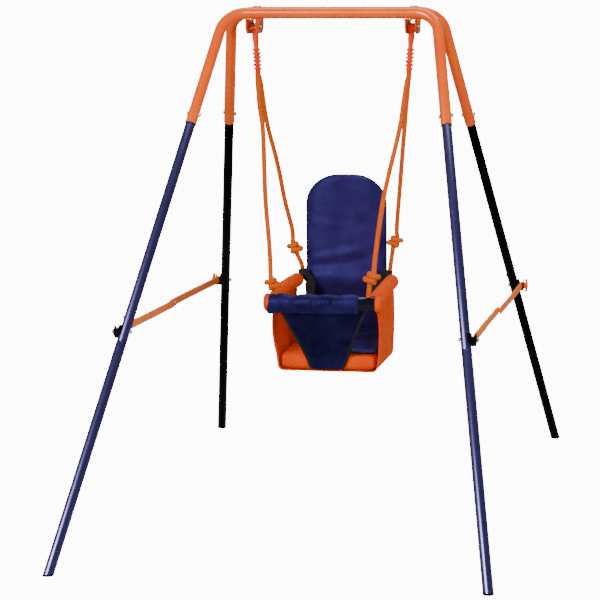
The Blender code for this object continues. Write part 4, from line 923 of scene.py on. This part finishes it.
def makeArm(side):
    hand = hands[side]
    line = [armSizes["start"]] + armRun
    route, total = evenRoute([onSeat(point, hand) for point in line], armSizes["step"])
    radii = []
    for index in range(len(route)):
        run = index / (len(route) - 1) * total
        toRear = total - run
        front = 1 - armSizes["frontSlim"] * (1 - ease(run / armSizes["frontRun"]))
        inFrom = min(1.0, (toRear + armSizes["rearStart"]) / armSizes["rearRound"])
        rear = math.sqrt(max(0.0, 1 - (1 - inFrom) ** 2))
        radii.append(armSizes["radius"] * front * max(rear, armSizes["rearLeast"]))
    arm = tubeAlong(side + "ArmPad", route, radii, armSizes["bevelSteps"])
    around = pointsAround(armSizes["bevelSteps"])
    for index, vertex in enumerate(arm.data.vertices):
        ring, seat = divmod(index, around)
        if ring >= len(route):
            continue
        inwards = (route[ring] - vertex.co).normalized()
        turn = math.tau * seat / around
        run = ring / (len(route) - 1) * total
        crease = wave(run, math.cos(turn) * 0.02, math.sin(turn) * 0.02 + hand, 0.020)
        fold = abs(math.sin(run * 95 + 2.2 * math.sin(turn + hand))) ** 3
        vertex.co += inwards * armSizes["crease"] * (0.5 + 0.5 * crease + 0.5 * fold)
    softened(arm)
    dress(arm, orangePadCloth, "orange_cloth", [side + "_arm_sleeve"])


for side in hands:
    makeArm(side)


# the orange sling that makes the seat's sides and underside, and the padded base in it; "sideTo" and
# "cornerTo" are shares of the way from an arm to the middle of the underside
slingSizes = {"baseThick": 0.042, "baseFront": -0.090, "baseRear": 0.150, "halfWidth": 0.113, "cloth": 0.0022,
              "spread": 0.0035, "slack": 0.0045, "frontTop": -0.120, "corner": 0.014, "height": 0.155,
              "crease": 0.0009, "lowCrease": 0.0010, "outMost": 0.0012, "inMost": 0.0016, "clear": 0.002,
              "intoArm": 0.0150, "sideTo": 0.52, "cornerTo": 0.62, "length": 0.545, "hems": 0.015}
baseSizes = {"clear": 0.0008, "low": 0.0018, "high": 0.0004, "dent": 0.0012, "corners": 0.050,
             "cuts": (32, 32, 8)}


def armUnderside(y):
    run = [Vector(point) for point in armRun]
    for start, end in zip(run, run[1:]):
        if y <= end.y:
            break
    share = min(1.0, max(0.0, (y - start.y) / (end.y - start.y)))
    spot = start.lerp(end, share)
    return spot.x, seatFloor + spot.z - slingSizes["intoArm"]


def slingDepth(z, share):
    # the front edge leans forward above the base
    low, high = slingSizes["baseThick"], slingSizes["height"]
    rise = min(1.0, max(0.0, z - seatFloor - low) / (high - low))
    front = slingSizes["baseFront"] + (slingSizes["frontTop"] - slingSizes["baseFront"]) * rise ** 0.8
    return front + (slingSizes["baseRear"] - front) * share


def makeSling():
    sideTo, cornerTo, corner = slingSizes["sideTo"], slingSizes["cornerTo"], slingSizes["corner"]

    def halfLine(across, share):
        # across: 0 at the arm, 1 at the middle of the underside
        topX, topZ = armUnderside(slingDepth(seatFloor + slingSizes["height"], share))
        edge = slingSizes["halfWidth"] + slingSizes["clear"]
        if across < sideTo:
            level = across / sideTo
            bulge = slingSizes["spread"] * math.sin(math.pi * level)
            bulge += slingSizes["slack"] * math.sin(math.pi * level ** 0.6)
            x = topX + slingSizes["clear"] + (slingSizes["halfWidth"] - topX) * level
            return x + bulge * (1 - 0.5 * share), topZ + (seatFloor + corner - topZ) * level
        if across < cornerTo:
            angle = (across - sideTo) / (cornerTo - sideTo) * math.pi / 2
            return edge - corner * (1 - math.cos(angle)), seatFloor + corner * (1 - math.sin(angle))
        return (edge - corner) * (1 - (across - cornerTo) / (1 - cornerTo)), seatFloor

    def place(u, v):
        hand = -1 if u < 0.5 else 1
        across = u * 2 if u < 0.5 else 2 - u * 2
        x, z = halfLine(across, v)
        y = slingDepth(z, v) + 0.004 * ease((across - 0.55) / 0.06) * (1 - v)
        hem = 0.0008 * (1 - ease(v / 0.045))
        upright = 1 - ease((across - 0.42) / 0.18)
        crumple = wave(y, z * 0.35, hand, 0.022) + 0.7 * wave(y * 2, z, hand * 3, 0.045)
        low = ease((across - 0.28) / 0.2) * upright
        crease = slingSizes["crease"] * upright * crumple
        crease += slingSizes["lowCrease"] * low * math.sin(y * 150 + hand) * (1 - v)
        out = min(slingSizes["outMost"], max(-slingSizes["inMost"], crease)) + hem
        ripple = 0.0006 * wave(x, y, 0, 0.05) if across > 0.7 else 0
        return at(hand * (x + out * upright), y, z + ripple)

    flat = (slingSizes["length"], slingSizes["baseRear"] - slingSizes["baseFront"] + slingSizes["hems"])
    sling = gridPiece("seatSling", 150, 44, flat, place)
    closeUp(sling, angle=meshing["clothSmooth"])
    applied(sling, "SOLIDIFY", thickness=slingSizes["cloth"], offset=-1, use_even_offset=True)
    smoothed(sling, meshing["softSmooth"])
    dress(sling, orangeCloth, "orange_cloth", ["seat_cover"])


def makeBase():
    halfWidth = slingSizes["halfWidth"] - baseSizes["clear"]
    front, rear = slingSizes["baseFront"], slingSizes["baseRear"]
    low, high = seatFloor + baseSizes["low"], seatFloor + slingSizes["baseThick"] - baseSizes["high"]

    def place(u, v, w):
        x, y, z = u * 2 - 1, v * 2 - 1, w * 2 - 1
        # a squared pillow: straight in the middle, its edges rounded and its corners pulled in
        pull = baseSizes["corners"] * abs(x) ** 4 * abs(y) ** 4
        roundX = (1 - 0.035 * abs(z) ** 4) * (1 - pull)
        roundY = (1 - 0.060 * abs(z) ** 3) * (1 - pull)
        roundZ = (1 - 0.16 * abs(y) ** 6) * (1 - 0.10 * abs(x) ** 8)
        dent = baseSizes["dent"] * wave(x * 0.1, y * 0.1, z, 0.03)
        return at(x * halfWidth * roundX, front + (rear - front) * (y * roundY + 1) / 2 + dent * (1 - v),
                  low + (high - low) * (z * roundZ + 1) / 2)

    base = blockPiece("seatBase", baseSizes["cuts"], (halfWidth * 2, rear - front), place)
    softened(base)
    dress(base, orangePadCloth, "orange_cloth", ["seat_cover"])


makeSling()
makeBase()


# the crotch panel that hangs from the bar, with its black edging
panelSizes = {"thick": 0.0026, "topHalfWidth": 0.096, "lowHalfWidth": 0.0335, "low": 0.0072,
              "underBar": 0.0155, "beforeBase": 0.0021, "hem": 0.008, "belly": 0.006, "ripple": 0.0026,
              "crumple": 0.0012, "leanTo": 0.80, "binding": 0.0034, "bindingAt": 0.985, "bindingSteps": 60,
              "bindingStretch": (2.4, 1.15), "bindingBevel": 6}
# each fold: depth, middle across and how that moves down the panel, from which height share, width,
# and where it starts to show
panelFolds = [(0.0046, -0.55, 0.5, 0.0, 0.16, -1.0), (-0.0060, 0.35, -0.9, 0.72, 0.16, 0.30),
              (-0.0034, -0.30, -0.4, 0.5, 0.14, 0.45)]
panelTop = seatFloor + barSizes["above"] - panelSizes["underBar"]
panelLow = seatFloor + panelSizes["low"]
panelLowY = slingSizes["baseFront"] - panelSizes["beforeBase"]


def panelPoint(x, v):
    top, low = panelSizes["topHalfWidth"], panelSizes["lowHalfWidth"]
    wide = top + (low - top) * v ** 0.92
    belly = panelSizes["belly"] * math.sin(math.pi * v)
    fold = panelSizes["ripple"] * math.sin(x * 7 + v * 3)
    for depth, middle, drift, level, width, starts in panelFolds:
        off = x - middle - drift * (v - level)
        fold += depth * math.exp(-(off / width) ** 2) * ease((v - starts) / 0.25)
    # the low part lies against the base, so its folds stand only outwards there
    if fold > 0:
        fold *= 1 - ease((v - 0.45) / 0.25)
    fold = fold * math.sin(math.pi * v) + panelSizes["crumple"] * wave(x * 0.1, v * 0.2, 0.7, 0.03) * (1 - v)
    lean = min(1.0, v / panelSizes["leanTo"])
    y = barSizes["y"] + (panelLowY - barSizes["y"]) * lean - belly * (1 - v) + fold * (1 - 0.35 * v)
    return at(x * wide, y, panelTop + (panelLow - panelTop) * v)


def makeBinding(side):
    hand, steps = hands[side], panelSizes["bindingSteps"]
    route = [panelPoint(hand * panelSizes["bindingAt"], step / steps) for step in range(steps + 1)]
    radii = [panelSizes["binding"] * 0.5] * len(route)
    edge = tubeAlong(side + "PanelBinding", route, radii, panelSizes["bindingBevel"])
    around = pointsAround(panelSizes["bindingBevel"])
    across, deep = panelSizes["bindingStretch"]
    for index, vertex in enumerate(edge.data.vertices):
        ring = min(steps, index // around)
        off = vertex.co - route[ring]
        vertex.co = route[ring] + Vector((off.x * across, off.y * deep, off.z))
    softened(edge)
    dress(edge, bindingTape, "black_webbing", ["crotch_panel"])
    return edge


def makePanel():
    height = panelTop - panelLow + panelSizes["hem"]
    flat = (panelSizes["topHalfWidth"] * 2, height)
    panel = gridPiece("crotchPanel", 48, 60, flat, lambda u, v: panelPoint(u * 2 - 1, v))
    closeUp(panel, angle=meshing["clothSmooth"])
    applied(panel, "SOLIDIFY", thickness=panelSizes["thick"], offset=0)
    smoothed(panel, meshing["softSmooth"])
    dress(panel, panelCloth, "dark_cloth", ["crotch_panel"])
    edges = [makeBinding(side) for side in hands]


makePanel()


# one long pad up the back and forward over the base, with piping sewn round it
padSizes = {"halfWidth": 0.095, "thick": 0.018, "rim": 0.007, "faceY": 0.160, "topAbove": 0.4245,
            "frontY": -0.084, "bend": 0.020, "round": 0.070, "onBase": 0.0003, "skin": 0.0012,
            "crumple": 0.0014, "slide": 0.026, "drawnIn": 0.012, "piping": 0.0042, "pipingInset": 0.0006,
            "pipingSteps": 96, "cuts": (36, 84, 3)}
# level bands and a slanting crease low on the back, as packing leaves them; each row: lift, distance from
# the top, slope, width, and whether it fades towards the sides
padFolds = [(0.0066, 0.243, 0.004, 0.018, False), (0.0048, 0.184, -0.018, 0.009, True),
            (-0.0034, 0.203, -0.018, 0.008, False), (-0.0020, 0.105, 0.012, 0.008, False)]
padTop = seatFloor + padSizes["topAbove"]
padFloor = seatFloor + slingSizes["baseThick"] + padSizes["onBase"]
padBack = padSizes["faceY"] + padSizes["thick"]
padStraight = padTop - padFloor - padSizes["bend"]
padArc = padSizes["bend"] * math.pi / 2
padLength = padStraight + padArc + padBack - padSizes["bend"] - padSizes["frontY"]


def padLine(distance):
    # depth, height and outward normal of the pad's back line, from its top down and forward
    if distance < padStraight:
        return (padBack, padTop - distance), (-1, 0)
    if distance < padStraight + padArc:
        angle = (distance - padStraight) / padSizes["bend"]
        return ((padBack - padSizes["bend"] * (1 - math.cos(angle)),
                 padFloor + padSizes["bend"] * (1 - math.sin(angle))), (-math.cos(angle), math.sin(angle)))
    return (padBack - padSizes["bend"] - (distance - padStraight - padArc), padFloor), (0, 1)


def padOutline(v):
    if v < 0.25:
        angle = v / 0.25 * math.pi / 2
        wide = padSizes["halfWidth"] * (0.20 + 0.80 * math.sin(angle))
        return padSizes["round"] * (1 - math.cos(angle)), wide
    return padSizes["round"] + (padLength - padSizes["round"]) * (v - 0.25) / 0.75, padSizes["halfWidth"]


def padAcross(x, wide, distance):
    # the forward part has slid over to the right and is drawn in at its left
    forward = ease((distance - padStraight) / 0.06)
    slide = padSizes["slide"] - padSizes["drawnIn"] * x
    return x * wide + forward * slide * (wide / padSizes["halfWidth"])


def padCreases(x, distance):
    total = padSizes["crumple"] * wave(x * 0.09, distance, 0.4, 0.045)
    for lift, place, slope, width, fades in padFolds:
        fold = lift * math.exp(-((distance - place - slope * x) / width) ** 2)
        total += fold * ease(1.3 - abs(x + 0.2)) if fades else fold
    return total


def makePad():
    def place(u, v, w):
        x = u * 2 - 1
        distance, wide = padOutline(v)
        (y, z), (ny, nz) = padLine(distance)
        edge = min(1.0, (1 - abs(x)) * 5) * min(1.0, v * 14) * min(1.0, (1 - v) * 14)
        edge = math.sqrt(max(0.0, edge))
        crown = 0.45 + 0.55 * (1 - abs(x) ** 3)
        rim = padSizes["rim"] * 0.5
        thick = rim + (padSizes["thick"] - rim - padSizes["skin"]) * crown * edge
        thick += padCreases(x, distance) * edge
        lift = (padSizes["thick"] - padSizes["rim"]) * 0.25 * (1 - edge)
        out = lift + thick * w
        return at(padAcross(x, wide, distance), y + ny * out, z + nz * out)

    pad = blockPiece("backPad", padSizes["cuts"], (padSizes["halfWidth"] * 2, padLength), place)
    softened(pad)
    dress(pad, padCloth, "navy_cloth", ["back_pad"])


def makePiping():
    # halfway up the pad's rim, down one side and up the other
    lift = padSizes["thick"] * 0.25
    steps = padSizes["pipingSteps"]
    loop = []
    for hand, order in ((-1, range(steps, -1, -1)), (1, range(steps + 1))):
        for step in order:
            distance, wide = padOutline(step / steps)
            (y, z), (ny, nz) = padLine(distance)
            x = padAcross(hand, wide, distance) - hand * padSizes["pipingInset"]
            loop.append(at(x, y + ny * lift, z + nz * lift))
    piping = tubeAlong("backPadPiping", loop, [padSizes["piping"] / 2] * len(loop), 3)
    bpy.ops.object.shade_smooth()
    dress(piping, pipingCloth, "navy_cloth", ["back_pad"])


makePad()
makePiping()


# black webbing that ties each back corner to the base
webbingSizes = {"width": 0.023, "thick": 0.0018, "step": 0.004, "edge": 0.0004}
webbingRun = [(0.1020, 0.1530, 0.2040), (0.0985, 0.1520, 0.1920), (0.0835, 0.1500, 0.1770),
              (0.0780, 0.1180, 0.1630), (0.0660, 0.0700, 0.1390), (0.0480, 0.0350, 0.0970),
              (0.0380, 0.0120, 0.0655)]


def makeWebbing(side):
    hand = hands[side]
    route, total = evenRoute([onSeat(point, hand) for point in webbingRun], webbingSizes["step"])
    count = len(route) - 1

    def place(u, v):
        index = round(v * count)
        along = (route[min(count, index + 1)] - route[max(0, index - 1)]).normalized()
        turn = v ** 0.8     # it twists from edge-on at the back to flat on the base
        across = Vector((hand * (1 - 0.45 * turn), 0.25 * turn, 0.72 * turn))
        across = (across - along * across.dot(along)).normalized()
        return route[index] + across * webbingSizes["width"] * (u - 0.5)

    strap = gridPiece(side + "SideStrap", 6, count, (webbingSizes["width"], total), place)
    closeUp(strap, angle=meshing["softSmooth"])
    applied(strap, "SOLIDIFY", thickness=webbingSizes["thick"], offset=0)
    bevelled(strap, webbingSizes["edge"], meshing["rimBevel"])
    dress(strap, webbingTape, "black_webbing", [side + "_side_webbing"])


for side in hands:
    makeWebbing(side)

# the board in the base is out of sight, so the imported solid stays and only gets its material
board = cadNodes["seat_board"]
if not board.material_slots:
    board.data.materials.append(boardPlastic)
for boardSlot in board.material_slots:
    boardSlot.material = boardPlastic
print("seat made")


# floor and studio light: watts, metres, and what each lamp leaves out
studio = {
    "floor": "#989898", "floorGlow": 12.0, "floorSize": 240, "floorDrop": 0.0006, "worldStrength": 0.24,
    "aim": 0.6,
    # the fill and low lamps give no highlight, so that tubes keep dark edges; the glint gives nothing else
    "lamps": {
        "keyLight": {"power": 300, "size": 2.3, "place": (-3.4, -4.6, 2.8)},
        "fillLight": {"power": 180, "size": 2.2, "place": (4.6, -2.6, 1.3), "without": "visible_glossy"},
        "topLight": {"power": 110, "size": 3.0, "place": (0.2, 1.0, 4.4)},
        "glintLight": {"power": 480, "size": 1.8, "place": (-2.3, -5.4, 2.6), "without": "visible_diffuse"},
        "lowLight": {"power": 60, "size": 1.6, "place": (1.9, -5.0, 0.3), "without": "visible_glossy"},
    },
}


def makeStudio():
    nothingSelected()
    bpy.ops.mesh.primitive_plane_add(size=studio["floorSize"], location=(0, 0, -studio["floorDrop"]))
    floor = bpy.context.object
    floor.name = "studioFloor"
    # A matt painted sweep: the camera sees it lit to white, and it sends only a soft light back to the part.
    material, tree, shader = newMaterial("paleStudioFloor", Roughness=0.9)
    shader.inputs["Base Color"].default_value = linearColor(studio["floor"])
    glow = addNode(tree, "ShaderNodeEmission", None,
                   {"Color": (1, 1, 1, 1), "Strength": studio["floorGlow"]})
    both = addNode(tree, "ShaderNodeAddShader", None, {0: shader.outputs[0], 1: glow.outputs[0]})
    seen = addNode(tree, "ShaderNodeLightPath").outputs["Is Camera Ray"]
    mixed = addNode(tree, "ShaderNodeMixShader", None, {0: seen, 1: shader.outputs[0], 2: both.outputs[0]})
    tree.links.new(mixed.outputs[0], tree.nodes["Material Output"].inputs["Surface"])
    floor.data.materials.append(material)
    world = bpy.data.worlds.new("studioWorld")
    bpy.context.scene.world = world
    world.use_nodes = True
    back = world.node_tree.nodes["Background"]
    back.inputs["Color"].default_value = (1, 1, 1, 1)
    back.inputs["Strength"].default_value = studio["worldStrength"]
    for name, settings in studio["lamps"].items():
        lamp = bpy.data.lights.new(name, "AREA")
        lamp.energy = settings["power"]
        lamp.size = settings["size"]
        light = bpy.data.objects.new(name, lamp)
        light.location = settings["place"]
        if "without" in settings:
            setattr(light, settings["without"], False)
        aim = Vector((0, 0, studio["aim"])) - light.location
        light.rotation_euler = aim.to_track_quat("-Z", "Y").to_euler()
        bpy.context.scene.collection.objects.link(light)


makeStudio()
print("studio made")
